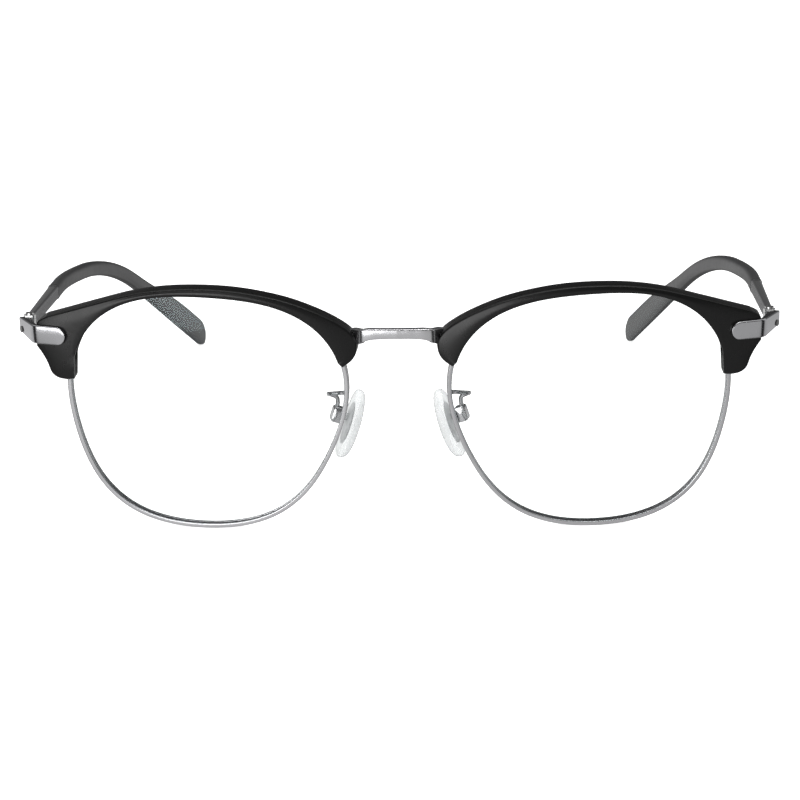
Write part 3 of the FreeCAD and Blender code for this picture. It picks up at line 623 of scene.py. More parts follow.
def sweep_tree() -> NodeTree:
    """Tree that sweeps a section object along its own curve."""
    made = NodeTree("swept wire", {"Section": "NodeSocketObject", "Finish": "NodeSocketMaterial",
                                   "Closed ends": "NodeSocketBool"})
    section = made.node("GeometryNodeObjectInfo", {}, {"Object": made.entry.outputs["Section"]})
    swept = made.node("GeometryNodeCurveToMesh", {}, {
        "Curve": made.entry.outputs["Geometry"],
        "Profile Curve": section.outputs["Geometry"],
        "Fill Caps": made.entry.outputs["Closed ends"],
    })
    made.close(swept.outputs[0])
    return made


def fastener_tree() -> NodeTree:
    """Tree that puts a head on every point, turned and sized by the point's attributes."""
    made = NodeTree("fastener heads", {"Head": "NodeSocketObject", "Finish": "NodeSocketMaterial",
                                       "Size": "NodeSocketFloat"})
    head = made.node("GeometryNodeObjectInfo", {}, {"Object": made.entry.outputs["Head"]})
    turn = made.node("GeometryNodeInputNamedAttribute", {"data_type": "FLOAT_VECTOR"}, {"Name": "turn"})
    rotation = made.node("FunctionNodeEulerToRotation", {}, {0: turn.outputs[0]})
    width = made.node("GeometryNodeInputNamedAttribute", {"data_type": "FLOAT_VECTOR"}, {"Name": "measure"})
    sized = made.node("ShaderNodeVectorMath", {"operation": "SCALE"},
                      {0: width.outputs[0], "Scale": made.entry.outputs["Size"]})
    placed = made.node("GeometryNodeInstanceOnPoints", {}, {
        "Points": made.entry.outputs["Geometry"],
        "Instance": head.outputs["Geometry"],
        "Rotation": rotation.outputs[0],
        "Scale": sized.outputs[0],
    })
    made.close(placed.outputs[0])
    return made


def poly_curve(name: str, points: Sequence[Sequence[float]], cyclic: bool) -> bpy.types.Object:
    """Curve object with one spline of straight runs, turned with its Z up."""
    data = bpy.data.curves.new(name, "CURVE")
    data.dimensions = "3D"
    data.twist_mode = "Z_UP"
    spline = data.splines.new("POLY")
    spline.points.add(len(points) - 1)
    for point, place in zip(spline.points, points):
        point.co = (*place, 0.0, 1.0) if len(place) == 2 else (*place, 1.0)
    spline.use_cyclic_u = cyclic
    return linked(name, data)


def swept_mesh(tree: NodeTree, name: str, path: Sequence[Sequence[float]], section: Sequence[Point],
               finish: bpy.types.Material, loop: bool) -> bpy.types.Mesh:
    """Sweep a section along a path.

    Args:
        tree: the tree that sweeps.
        name: the mesh's name.
        path: points of the path.
        section: points of the closed section.
        finish: material of the result.
        loop: whether the path closes on itself; an open path gets closed ends.

    Returns:
        The plain mesh.
    """
    track = poly_curve(f"{name}_track", path, loop)
    ring = poly_curve(f"{name}_section", section, True)
    mesh = tree.run(track, {"Section": ring, "Finish": finish, "Closed ends": not loop}, name)
    bpy.data.objects.remove(ring)
    return mesh


# ------------------------------------------------------------------ the rim's outline
@dataclass(frozen=True)
class Outline:
    """Outer edge of the eyewire in the eye plane, and the lens curve behind it."""

    centre: Point = (35.5, -1.0)
    radius: float = 25.3
    waves: tuple[Point, ...] = ((0.39, -0.77), (1.35, -0.05), (-0.27, 0.98), (-0.5, -0.1), (-0.12, 0.25))
    base_curve: float = 130.0
    vertex: float = -2.4

    def reach(self, angle: float) -> float:
        """Polar radius at an angle: a circle with five gentle waves."""
        total = self.radius
        for order, (cosine, sine) in enumerate(self.waves, start=1):
            total += cosine * math.cos(order * angle) + sine * math.sin(order * angle)
        return total

    def raw(self, angle: float) -> Vector:
        """Point (x, z) of the outline."""
        reach = self.reach(angle)
        return Vector((self.centre[0] + reach * math.cos(angle), self.centre[1] + reach * math.sin(angle)))

    def point(self, angle: float, offset: float = 0.0) -> Vector:
        """Point moved outwards along the outline's normal."""
        tangent = self.raw(angle + 1e-4) - self.raw(angle - 1e-4)
        normal = Vector((tangent.y, -tangent.x)).normalized()
        return self.raw(angle) + normal * offset

    def depth(self, x: float, z: float, front: float = 0.0) -> float:
        """Depth y of the lens curve moved forwards by front."""
        across = (x - self.centre[0]) ** 2 + (z - self.centre[1]) ** 2
        return self.vertex + self.base_curve - math.sqrt((self.base_curve + front) ** 2 - across)

    def place(self, x: float, z: float, front: float = 0.0) -> Vector:
        """Drawing point on the lens curve, moved forwards by front."""
        return EYE @ Vector((x, self.depth(x, z, front), z))

    def outside(self, point: Vector) -> float:
        """How far a point (x, z) lies outside the outline, along its ray."""
        away = point - Vector(self.centre)
        return away.length - self.reach(math.atan2(away.y, away.x))


OUTLINE = Outline()


# ------------------------------------------------------------------ eyewires and lenses
@dataclass
class Eyewire:
    """Metal rim: a channel section swept round the outline."""

    finishes: Finishes
    sweep: NodeTree
    thickness: float = 0.85
    depth: float = 1.9
    groove_wide: float = 0.7
    groove_deep: float = 0.4
    rounding: float = 0.16
    steps: int = 300

    def section(self) -> list[Point]:
        """Channel section: x outwards from the rim's outer edge, y backwards."""
        groove = self.groove_wide / 2
        outer = rounded_box(self.thickness, self.depth, [self.rounding] * 4, 3)
        shifted = [(x - self.thickness / 2, y) for x, y in outer]
        quarter = len(shifted) // 4
        floor = -self.thickness + self.groove_deep
        mouth = [(-self.thickness, groove), (floor, groove * 0.8), (floor, -groove * 0.8), (-self.thickness, -groove)]
        return shifted[:2 * quarter] + mouth + shifted[2 * quarter:]

    def build(self, side: Side) -> None:
        """Sweep one rim and settle it."""
        name = f"rim_{side.word}"
        path = []
        for k in range(self.steps):
            spot = OUTLINE.raw(2 * math.pi * k / self.steps)
            path.append((spot.x, spot.y, -OUTLINE.depth(spot.x, spot.y)))
        mesh = swept_mesh(self.sweep, name, path, self.section(), self.finishes.rim, True)
        upright = Matrix(((1, 0, 0, 0), (0, 0, -1, 0), (0, 1, 0, 0), (0, 0, 0, 1)))
        mesh.transform(ROW @ side.mirror() @ EYE @ upright)
        rim = finish_mesh(name, mesh, 50.0)
        settle(rim, self.finishes.rim, "rim_metal", Body.FRONT.of(side), f"eyewire_{side.word}")


@dataclass
class Lens:
    """Clear curved lens with a bevel that sits in the rim's groove."""

    finishes: Finishes
    half: float = 1.0
    bevel_half: float = 0.33
    inner: float = -0.86
    bevel: float = -0.47
    steps: int = 160
    rings: tuple[float, ...] = (0.06, 0.2, 0.36, 0.52, 0.68, 0.82, 0.92, 0.985)

    def ring(self, share: float, offset: float, front: float) -> list[Vector]:
        """One ring of the lens, a share of the way from its middle."""
        middle = Vector(OUTLINE.centre)
        points = []
        for k in range(self.steps):
            spot = middle + (OUTLINE.point(2 * math.pi * k / self.steps, offset) - middle) * share
            points.append(OUTLINE.place(spot.x, spot.y, front))
        return points

    def build(self, side: Side) -> None:
        """Build one lens and settle it."""
        rings = [self.ring(share, self.inner, self.half) for share in self.rings]
        rings += [self.ring(1.0, self.inner, self.half - 0.04), self.ring(1.0, self.bevel, self.bevel_half),
                  self.ring(1.0, self.bevel, -self.bevel_half), self.ring(1.0, self.inner, 0.04 - self.half)]
        rings += [self.ring(share, self.inner, -self.half) for share in reversed(self.rings)]
        lens = Shell().loft(rings).piece(f"clear_lens_{side.word}", side, 30.0)
        settle(lens, self.finishes.lens, "lens_clear", Body.FRONT.of(side), f"lens_{side.word}")


# ------------------------------------------------------------------ brow pieces
@dataclass
class Brow:
    """Plastic brow piece: an arch over the lens with a channel for the rim and a wing at the temple."""

    finishes: Finishes
    front: float = 1.9
    back: float = 1.7
    lip: float = 1.0
    channel_half: float = 1.05
    channel_slack: float = 0.05
    edge_round: float = 0.36
    back_round: float = 0.4
    lip_round: float = 0.2
    crown: float = 0.10
    foot: Point = (60.3, 3.6)
    wing: tuple[Point, ...] = ((61.9, 3.4), (63.7, 3.7), (64.7, 4.5), (65.5, 6.4), (66.5, 8.1), (67.5, 9.4))
    end: tuple[Point, ...] = ((67.5, 12.6), (67.3, 13.9), (65.6, 15.0))
    arch: tuple[Point, ...] = ((62.0, 16.2), (56.8, 17.9), (49.2, 20.15), (43.5, 21.15), (37.5, 21.5),
                               (31.0, 21.25), (25.1, 20.35), (19.6, 18.9), (14.3, 16.7), (10.9, 14.8),
                               (8.7, 13.1), (7.5, 11.2), (7.5, 9.3), (8.3, 7.8), (10.0, 6.5))
    inner_degrees: tuple[Point, ...] = ((0.0, 20.0), (0.45, 24.5), (0.62, 27.0), (1.0, 31.0))

    def boundary(self) -> list[tuple[Vector, float]]:
        """Outer edge from the foot round the wing and over the arch to the nose.

        Returns:
            Pairs of an outer point and the angle of the inner point it is joined to.
        """
        lower = smooth_through([self.foot, *self.wing], 8)
        upper = smooth_through([*self.end], 8)
        straight = [(self.wing[-1][0], self.wing[-1][1] + 0.8 * k) for k in range(1, 4)]
        flank = lower + straight + upper
        crest = smooth_through([self.end[-1], *self.arch], 14)[1:]
        lengths = runs_along(flank)
        ease = graph(self.inner_degrees)
        pairs = [(Vector(p), ease(run / lengths[-1])) for p, run in zip(flank, lengths)]
        start, last = self.inner_degrees[-1][1], 161.0
        total = runs_along(crest)
        for p, run in zip(crest, total):
            share = run / total[-1]
            ray = Vector(p) - Vector(OUTLINE.centre)
            polar = math.degrees(math.atan2(ray.y, ray.x))
            early = smooth_step(share, 0.0, 0.16)
            late = smooth_step(share, 0.80, 1.0)
            angle = (start + 2.0 + (polar - 28.0) * 0.4) * (1 - early) + polar * early
            pairs.append((Vector(p), min(last, angle) * (1 - late) + last * late))
        for i in range(1, len(pairs)):
            if pairs[i][1] <= pairs[i - 1][1]:
                pairs[i] = (pairs[i][0], min(last, pairs[i - 1][1] + 0.02))
        return pairs

    def channel_start(self, outer: Vector, inner: Vector) -> float:
        """Share of the way from the outer to the inner point where the channel begins."""
        low, high = 0.0, 1.0
        for _ in range(30):
            middle = (low + high) / 2
            if OUTLINE.outside(outer.lerp(inner, middle)) > self.channel_slack:
                low = middle
            else:
                high = middle
        return max(0.12, low)

    def section(self, outer: Vector, inner: Vector) -> list[Vector]:
        """Closed section between an outer and an inner point."""
        length = (inner - outer).length
        start = self.channel_start(outer, inner) * length
        front, back = self.front, self.back
        edge, rear, lip = self.edge_round, self.back_round, self.lip_round

        def arc(cx: float, cy: float, radius: float, first: float, last: float, steps: int) -> list[Point]:
            turns = (math.radians(first + (last - first) * k / steps) for k in range(steps + 1))
            return [(cx + radius * math.cos(a), cy + radius * math.sin(a)) for a in turns]

        profile = [(length, self.channel_half)]
        profile += arc(length - lip, front - lip, lip, 0, 90, 3)
        face_start, face_end = length - lip, edge
        for k in range(1, 6):
            share = k / 6
            bulge = self.crown * math.sin(math.pi * share)
            profile.append((face_start + (face_end - face_start) * share, front + bulge))
        profile += arc(edge, front - edge, edge, 90, 180, 6)
        profile += arc(rear, -back + rear, rear, 180, 270, 4)
        for k in range(1, 4):
            profile.append((rear + (length - lip - rear) * k / 4, -back))
        profile += arc(length - lip, -back + lip, lip, 270, 360, 3)
        profile += [(length, -self.channel_half), (start, -self.channel_half), (start, self.channel_half)]
        points = []
        for t, d in profile:
            spot = outer.lerp(inner, t / length)
            points.append(OUTLINE.place(spot.x, spot.y, d))
        return points

    def build(self, side: Side) -> None:
        """Build one brow piece and settle it."""
        rings = []
        pairs = self.boundary()
        for outer, degrees in pairs:
            inner = OUTLINE.point(math.radians(degrees), -self.lip)
            rings.append(self.section(outer, inner))
        brow = Shell().loft(rings).piece(f"brow_piece_{side.word}", side, 42.0)
        settle(brow, self.finishes.brow, "brow_plastic", Body.FRONT.of(side), f"brow_{side.word}")


# ------------------------------------------------------------------ bridge
@dataclass
class Bridge:
    """Flat metal bar between the rims, bowed forwards, with an arched lower edge."""

    finishes: Finishes
    half: float = 10.4
    thick: float = 1.4
    top: tuple[Point, ...] = ((0.0, 14.0), (3.0, 14.0), (5.6, 13.97), (8.2, 13.5), (10.4, 12.6))
    foot: tuple[Point, ...] = ((0.0, 12.15), (2.8, 12.1), (5.4, 11.8), (8.4, 10.3), (10.4, 9.2))
    bow: tuple[Point, ...] = ((0.0, -2.55), (3.0, -2.48), (5.6, -2.3), (6.7, -1.85), (7.5, -0.9), (8.4, 0.6),
                              (10.4, 2.1))
    steps: int = 96

    def build(self) -> None:
        """Build the bridge and settle it."""
        top, foot, bow = graph(self.top), graph(self.foot), graph(self.bow)
        rings = []
        for k in range(self.steps + 1):
            x = -self.half + 2 * self.half * k / self.steps
            reach = abs(x)
            high, low = top(reach), foot(reach)
            lean = (bow(abs(x + 0.05)) - bow(abs(x - 0.05))) / 0.1
            backwards = Vector((-lean, 1.0, 0.0)).normalized()
            section = rounded_box(self.thick, high - low, (0.16, 0.34, 0.22, 0.14), 4)
            middle = Vector((x, bow(reach), (high + low) / 2)) + backwards * (self.thick / 2)
            rings.append([middle + backwards * dy + Vector((0.0, 0.0, dz)) for dy, dz in section])
        bridge = Shell().loft(rings).piece("bridge_bar", Side.LEFT, 44.0)
        settle(bridge, self.finishes.rim, "rim_metal", Body.FRONT.of(Side.LEFT), "bridge")


# ------------------------------------------------------------------ endpiece straps
@dataclass
class Strap:
    """L-shaped strap: a plate with a round end on the brow, bent back to the hinge."""

    finishes: Finishes
    inner_x: float = 61.7
    bend_x: float = 67.15
    corner_x: float = 68.0
    level: float = 11.8
    height: float = 3.5
    seat: float = 1.9
    plate: float = 0.9
    end_outer: tuple[float, float, float] = (71.0, 9.0, 12.7)
    end_width: float = 1.7
    end_height: float = 2.8
    bevel: float = 0.26
    tip_steps: int = 12
    front_steps: int = 8
    bend_steps: int = 8
    side_steps: int = 12

    def stations(self) -> list[tuple[Vector, Vector, float, float]]:
        """Outer point, inner point, height and lower trim along the strap, from its round end."""
        level, half = self.level, self.height / 2

        def front_pair(x: float) -> tuple[Vector, Vector]:
            return OUTLINE.place(x, level, self.seat + self.plate), OUTLINE.place(x, level, self.seat)

        rows = []
        for k in range(1, self.tip_steps + 1):
            turn = math.pi / 2 * k / self.tip_steps
            outer, inner = front_pair(self.inner_x + half * (1 - math.cos(turn)))
            rows.append((outer, inner, max(0.3, self.height * math.sin(turn)), 0.0))
        for k in range(1, self.front_steps + 1):
            x = self.inner_x + half + (self.bend_x - self.inner_x - half) * k / self.front_steps
            rows.append((*front_pair(x), self.height, 0.0))
        corner_y = OUTLINE.depth(self.corner_x, level, self.seat + self.plate)
        corner = EYE @ Vector((self.corner_x, corner_y + 0.02, level))
        inside = EYE @ Vector((self.corner_x - 0.6, corner_y + 0.9, level))
        end = Vector(self.end_outer)
        end_in = end - Vector((self.end_width, 0.0, 0.0))
        outer0, inner0 = front_pair(self.bend_x)
        outer2 = corner + (end - corner).normalized() * 0.95
        inner2 = inside + (end_in - inside).normalized() * 0.5
        for k in range(1, self.bend_steps + 1):
            t = k / self.bend_steps
            weights = ((1 - t) ** 2, 2 * t * (1 - t), t * t)
            outer = outer0 * weights[0] + corner * weights[1] + outer2 * weights[2]
            inner = inner0 * weights[0] + inside * weights[1] + inner2 * weights[2]
            rows.append((outer, inner, self.height, 0.0))
        run = (end - outer2).length
        for k in range(1, self.side_steps + 1):
            t = math.sin(math.pi / 2 * k / self.side_steps)
            left = run * (1 - t)
            trim = 0.0
            if left < 0.9:
                trim = 0.9 - math.sqrt(max(0.0, 0.81 - (0.9 - left) ** 2))
            rows.append((outer2.lerp(end, t), inner2.lerp(end_in, t),
                         self.height + (self.end_height - self.height) * t, trim))
        return rows

    def build(self, side: Side) -> None:
        """Build one strap and settle it."""
        rings = []
        up = EYE.to_3x3() @ Vector((0.0, 0.0, 1.0))
        for outer, inner, height, trim in self.stations():
            thick = (outer - inner).length
            out = (outer - inner).normalized()
            tall = height - trim
            bevel = min(self.bevel, tall * 0.3)
            back = min(0.12, bevel)
            middle = (outer + inner) / 2 + up * (trim / 2)
            section = rounded_box(thick, tall, (bevel, back, back, bevel), 3)
            rings.append([middle + out * a + up * b for a, b in section])
        strap = Shell().loft(rings).piece(f"endpiece_{side.word}", side, 40.0)
        settle(strap, self.finishes.strap, "strap_metal", Body.FRONT.of(side), f"endpiece_strap_{side.word}")


# ------------------------------------------------------------------ temples
@dataclass
class Temple:
    """Metal bar and moulded sleeve of one temple."""

    finishes: Finishes
    bar_start: float = 1.3
    bar_wide: float = 1.4
    bar_tall: float = 2.5
    bar_end_wide: float = 2.2
    bar_end_tall: float = 2.75
    sleeve_start: float = 38.0
    straight: float = 70.0
    bend_radius: float = 62.8
    bend: float = 27.76
    tip: float = 38.7
    curve_start: float = 47.7
    curve_radius: float = 93.0
    curve: float = 17.2
    path_step: float = 0.25
    sleeve_tall: float = 3.1
    sleeve_wide: float = 2.5
    paddle_tall: float = 5.8
    paddle_wide: float = 2.1
    paddle_rise: float = 0.9
    paddle_start: float = 96.0
    paddle_full: float = 127.0
    tip_droop: float = 0.55
    squareness: float = 0.72
    around: int = 36
    stations: int = 110

    @property
    def length(self) -> float:
        """Length of the temple's middle line."""
        return self.straight + self.bend_radius * math.radians(self.bend) + self.tip

    def turns(self, distance: float) -> tuple[float, float]:
        """How far the middle line has bent down and curved inwards, in radians."""
        down = min(math.radians(self.bend), max(0.0, (distance - self.straight) / self.bend_radius))
        inwards = min(math.radians(self.curve), max(0.0, (distance - self.curve_start) / self.curve_radius))
        return down, inwards

    def heading(self, distance: float) -> Vector:
        """Unit direction of the middle line, in the temple's frame."""
        down, inwards = self.turns(distance)
        level = math.cos(inwards)
        return Vector((-math.sin(inwards), math.cos(down) * level, -math.sin(down) * level))

    def path(self, distance: float) -> tuple[Vector, Vector, Vector]:
        """Point, direction and upward direction of the middle line, in the temple's frame."""
        count = max(1, math.ceil(distance / self.path_step))
        step = distance / count
        point = sum((self.heading((i + 0.5) * step) * step for i in range(count)), Vector((0.0, 0.0, 0.0)))
        down, _ = self.turns(distance)
        return point, self.heading(distance), Vector((0.0, math.sin(down), math.cos(down)))

    def sleeve_ring(self, distance: float, shrink: float, swell: float) -> list[Vector]:
        """One section of the sleeve."""
        point, direction, up = self.path(distance)
        outwards = direction.cross(up).normalized()
        grow = smooth_step(distance, self.paddle_start, self.paddle_full)
        tall = self.sleeve_tall + (self.paddle_tall - self.sleeve_tall) * grow
        wide = self.sleeve_wide + (self.paddle_wide - self.sleeve_wide) * grow
        points = []
        for k in range(self.around):
            turn = 2 * math.pi * k / self.around
            c, s = math.cos(turn), math.sin(turn)
            x = wide / 2 * math.copysign(abs(c) ** self.squareness, c) * min(1.0, shrink + 0.25) * swell
            z = tall / 2 * math.copysign(abs(s) ** self.squareness, s) * shrink * swell
            lift = self.paddle_rise * grow - (1 - shrink) * self.tip_droop * tall / 2
            points.append(point + outwards * x + up * (z + lift))
        return points

    def sleeve(self) -> Shell:
        """Sleeve with a small collar at its mouth and a rounded tip."""
        swell = graph(((0.0, 0.91), (0.2, 0.97), (0.5, 1.02), (0.9, 1.035), (1.5, 1.03), (2.1, 1.0), (5.0, 1.0)))
        cap = self.paddle_tall / 2
        first, last = self.sleeve_start, self.length - cap
        spots = [first + s for s in (0.0, 0.12, 0.25, 0.45, 0.7, 1.0, 1.3, 2.0, 2.6, 3.0, 3.4, 4.0)]
        spots += [first + 5 + (last - first - 5) * k / self.stations for k in range(self.stations + 1)]
        rings = [self.sleeve_ring(d, 1.0, swell(d - first)) for d in spots]
        for share in (0.2, 0.4, 0.55, 0.68, 0.79, 0.88, 0.94, 0.975, 0.995):
            rings.append(self.sleeve_ring(last + cap * share, math.sqrt(1 - share ** 2), 1.0))
        return Shell().loft(rings)

    def bar(self) -> Shell:
        """Bar with rounded edges, slightly pulled in at its front end."""
        rings = []
        spots = [0.0, 0.08, 0.25, 0.5] + [0.5 + (self.sleeve_start - self.bar_start + 1.0) * k / 20
                                          for k in range(1, 21)]
        for run in spots:
            ease = 1 - 0.16 * (1 - smooth_step(run, -0.05, 0.5))
            grow = min(1.0, run / (self.sleeve_start - self.bar_start))
            wide = self.bar_wide + (self.bar_end_wide - self.bar_wide) * grow
            tall = self.bar_tall + (self.bar_end_tall - self.bar_tall) * grow
            section = rounded_box(wide * ease, tall * ease, [0.34 + 0.3 * grow] * 4, 5)
            rings.append([Vector((a, self.bar_start + run, b)) for a, b in section])
        return Shell().loft(rings)

    def build(self, side: Side) -> None:
        """Build one temple's bar and sleeve and settle them."""
        body = Body.TEMPLE.of(side)
        bar = self.bar().moved(TEMPLE).piece(f"temple_metal_{side.word}", side, 44.0)
        settle(bar, self.finishes.strap, "strap_metal", body, f"temple_bar_{side.word}")
        sleeve = self.sleeve().moved(TEMPLE).piece(f"temple_cover_{side.word}", side, 60.0)
        settle(sleeve, self.finishes.sleeve, "sleeve_plastic", body, f"temple_sleeve_{side.word}")


# ------------------------------------------------------------------ nose pads
@dataclass
class NosePad:
    """Soft pad with its hard core, the box that holds it and the wire arm."""

    finishes: Finishes
    sweep: NodeTree
    long: float = 13.6
    wide: float = 7.4
    back: float = 2.2
    thick: float = 2.3
    drop: float = 1.1
    arm_radius: float = 0.42
    arm_route: tuple[tuple[float, float, float], ...] = (
        (9.75, 1.2, 0.85), (10.2, 3.4, 0.4), (13.2, 4.6, -0.2), (13.1, 6.7, -0.75), (11.4, 7.4, -1.6),
        (11.75, 7.55, -4.0))

    def oval(self, share: float, z: float, long: float, wide: float, bow: float) -> list[Vector]:
        """Egg-shaped ring of the pad, narrower at its top."""
        points = []
        for k in range(56):
            turn = 2 * math.pi * k / 56
            y = long / 2 * math.sin(turn) * share
            taper = 1 - 0.10 * math.sin(turn)
            x = wide / 2 * math.cos(turn) * share * taper
            points.append(Vector((x, y - self.drop, z - bow * (y * 2 / long) ** 2)))
        return points

    def pad(self) -> Shell:
        """Pad: a flat back, a soft rim and a gently domed face."""
        low, high = self.back, self.back + self.thick
        profile = ((0.15, low), (0.6, low), (0.84, low + 0.03), (0.93, low + 0.17), (0.98, low + 0.45),
                   (1.0, low + 0.85), (0.99, high - 0.85), (0.955, high - 0.5), (0.88, high - 0.24),
                   (0.74, high - 0.09), (0.5, high - 0.02), (0.15, high))
        return Shell().loft([self.oval(share, z, self.long, self.wide, 0.25) for share, z in profile])

    def core(self) -> Shell:
        """Core: a thin oval plate with the lug that goes into the box."""
        low = self.back + 0.12
        plate = ((0.2, low), (0.9, low), (1.0, low + 0.15), (1.0, low + 0.5), (0.9, low + 0.62), (0.2, low + 0.62))
        shell = Shell().loft([self.oval(share, z, 8.2, 3.4, 0.12) for share, z in plate])
        rings = []
        for x in (-0.55, -0.42, 0.42, 0.55):
            inset = 0.1 if abs(x) > 0.5 else 0.0
            lug = rounded_box(1.2 - inset, 3.0 - inset, (0.1, 0.1, 0.55, 0.55), 4)
            rings.append([Vector((x, a, b + 0.87)) for a, b in lug])
        shell.loft(rings)
        return shell

    def box(self) -> Shell:
        """Box: a small rounded block where the lug sits."""
        rings = []
        for x, inset in ((-1.15, 0.28), (-1.08, 0.12), (-0.95, 0.03), (-0.75, 0.0), (0.75, 0.0), (0.95, 0.03),
                         (1.08, 0.12), (1.15, 0.28)):
            section = rounded_box(3.0 - inset, 2.0 - inset, (0.2, 0.2, 0.55, 0.55), 4)
            rings.append([Vector((x, a, b)) for a, b in section])
        return Shell().loft(rings)

    def arm_curve(self) -> list[Vector]:
        """Smooth line of the wire arm in drawing millimetres."""
        cut = [Vector(p) for p in self.arm_route]
        line = [cut[0]]
        for before, corner, after in zip(cut, cut[1:], cut[2:]):
            reach = min(1.15, (corner - before).length * 0.48, (after - corner).length * 0.48)
            one = corner + (before - corner).normalized() * reach
            two = corner + (after - corner).normalized() * reach
            for k in range(9):
                t = k / 8
                line.append(one * (1 - t) ** 2 + corner * (2 * t * (1 - t)) + two * t ** 2)
        line.append(cut[-1])
        return line

    def build(self, side: Side) -> None:
        """Build one pad with its core, box and arm and settle them."""
        front, body = Body.FRONT.of(side), Body.PAD.of(side)
        pad = self.pad().moved(PAD).piece(f"soft_pad_{side.word}", side, 60.0)
        settle(pad, self.finishes.silicone, "pad_silicone", body, f"nose_pad_{side.word}")
        core = self.core().moved(PAD).piece(f"pad_core_{side.word}", side, 50.0)
        settle(core, self.finishes.core, "pad_core", body, f"pad_insert_{side.word}")
        box = self.box().moved(PAD).piece(f"pad_cup_{side.word}", side, 50.0)
        settle(box, self.finishes.rim, "rim_metal", front, f"pad_box_{side.word}")
        name = f"wire_arm_{side.word}"
        mesh = swept_mesh(self.sweep, name, [tuple(p) for p in self.arm_curve()], disc_points(self.arm_radius, 20),
                          self.finishes.rim, False)
        mesh.transform(ROW @ side.mirror())
        arm = finish_mesh(name, mesh, 50.0)
        settle(arm, self.finishes.rim, "rim_metal", front, f"pad_arm_{side.word}")


# ------------------------------------------------------------------ screws and other carried-over pieces
@dataclass
class Fasteners:
    """Slotted screws at the hinges, the rim locks and the pads."""

    finishes: Finishes
    tree: NodeTree
    slot_wide: float = 0.22

    def head(self) -> bpy.types.Object:
        """Screw head of radius 1 and height 1, with a slot across its domed top and a shank below."""
        shell = Shell()
        count = 40
        profile = ((0.55, -3.0), (0.58, -2.9), (0.58, 0.0), (0.96, 0.0), (1.0, 0.08), (1.0, 0.7), (0.94, 0.88),
                   (0.8, 0.97), (0.5, 1.03), (0.2, 1.05))
        rings = [[Vector((x, y, z)) for x, y in disc_points(r, count)] for r, z in profile]
        shell.loft(rings)
        mesh = bpy.data.meshes.new("screw_head")
        mesh.from_pydata(shell.points, [], shell.faces)
        head = finish_mesh("screw_head", mesh, 40.0)
        cutter_mesh = bpy.data.meshes.new("screw_slot")
        work = bmesh.new()
        bmesh.ops.create_cube(work, size=1.0, matrix=Matrix.Translation((0, 0, 1.1)) @ Matrix.Diagonal(
            (self.slot_wide, 2.6, 1.0, 1.0)))
        work.to_mesh(cutter_mesh)
        work.free()
        cutter = linked("screw_slot", cutter_mesh)
        cut = head.modifiers.new("slot", "BOOLEAN")
        cut.object, cut.operation, cut.solver = cutter, "DIFFERENCE", "EXACT"
        plain = plain_copy(head, "screw_head")
        bpy.data.objects.remove(cutter)
        plain.set_sharp_from_angle(angle=math.radians(35))
        return linked("screw_head", plain)

    def spots(self) -> list[tuple[Vector, Vector, float, float]]:
        """Point, direction, radius and head height of each screw, in drawing millimetres."""
        rows = []
        temple_up = TEMPLE.to_3x3() @ Vector((0, 0, 1))
        eye_down = EYE.to_3x3() @ Vector((0, 0, -1))
        lock = EYE @ Vector((60.95, OUTLINE.depth(60.95, 11.8, -1.3), 11.8))
        pad_in = PAD.to_3x3() @ Vector((-1, 0, 0))
        for side in Side:
            mirror = side.mirror()
            for point, direction, radius, tall in (
                (TEMPLE @ Vector((0, 0, 1.3)), temple_up, 0.85, 0.45),
                (lock + eye_down * 2.05, eye_down, 0.85, 0.45),
                (Vector(DRAWING.pad_point) + pad_in * 1.15, pad_in, 0.65, 0.3),
            ):
                rows.append((mirror @ point, mirror.to_3x3() @ direction, radius, tall))
        return rows

    def build(self) -> None:
        """Put every screw in place as one piece and settle it."""
        rows = self.spots()
        mesh = bpy.data.meshes.new("screw_points")
        mesh.from_pydata([ROW @ point for point, _, _, _ in rows], [], [])
        turn = mesh.attributes.new("turn", "FLOAT_VECTOR", "POINT")
        measure = mesh.attributes.new("measure", "FLOAT_VECTOR", "POINT")
        for i, (_, direction, radius, tall) in enumerate(rows):
            spin = Euler((0, 0, 0.7 + 1.3 * i)).to_quaternion()
            turn.data[i].vector = (direction.to_track_quat("Z", "Y") @ spin).to_euler()
            measure.data[i].vector = (radius, radius, tall)
        points = linked("screw_points", mesh)
        head = self.head()
        plain = self.tree.run(points, {"Head": head, "Finish": self.finishes.small, "Size": MM}, "slotted_screws")
        bpy.data.objects.remove(head)
        screws = finish_mesh("slotted_screws", plain, 35.0)
        nodes = [f"{stem}_{side.word}" for stem in ("hinge_screw", "closing_screw", "pad_screw") for side in Side]
        settle(screws, self.finishes.small, "small_metal", Body.FRONT.of(Side.LEFT), *nodes)


@dataclass
class CarriedOver:
    """CAD nodes that stay as they are and get a finish."""

    finishes: Finishes

    def build(self) -> None:
        """Dress every carried-over node."""
        kinds = {"brow_rivets": self.finishes.small, "strap_rivet": self.finishes.rivet,
                 "closing_block_upper": self.finishes.rim, "closing_block_lower": self.finishes.rim,
                 "front_hinge": self.finishes.small, "temple_hinge": self.finishes.small}
        for stem, material in kinds.items():
            for side in Side:
                dress(frame["nodes"][f"{stem}_{side.word}"], material)
                LOG.info("%s_%s keeps its CAD shape", stem, side.word)


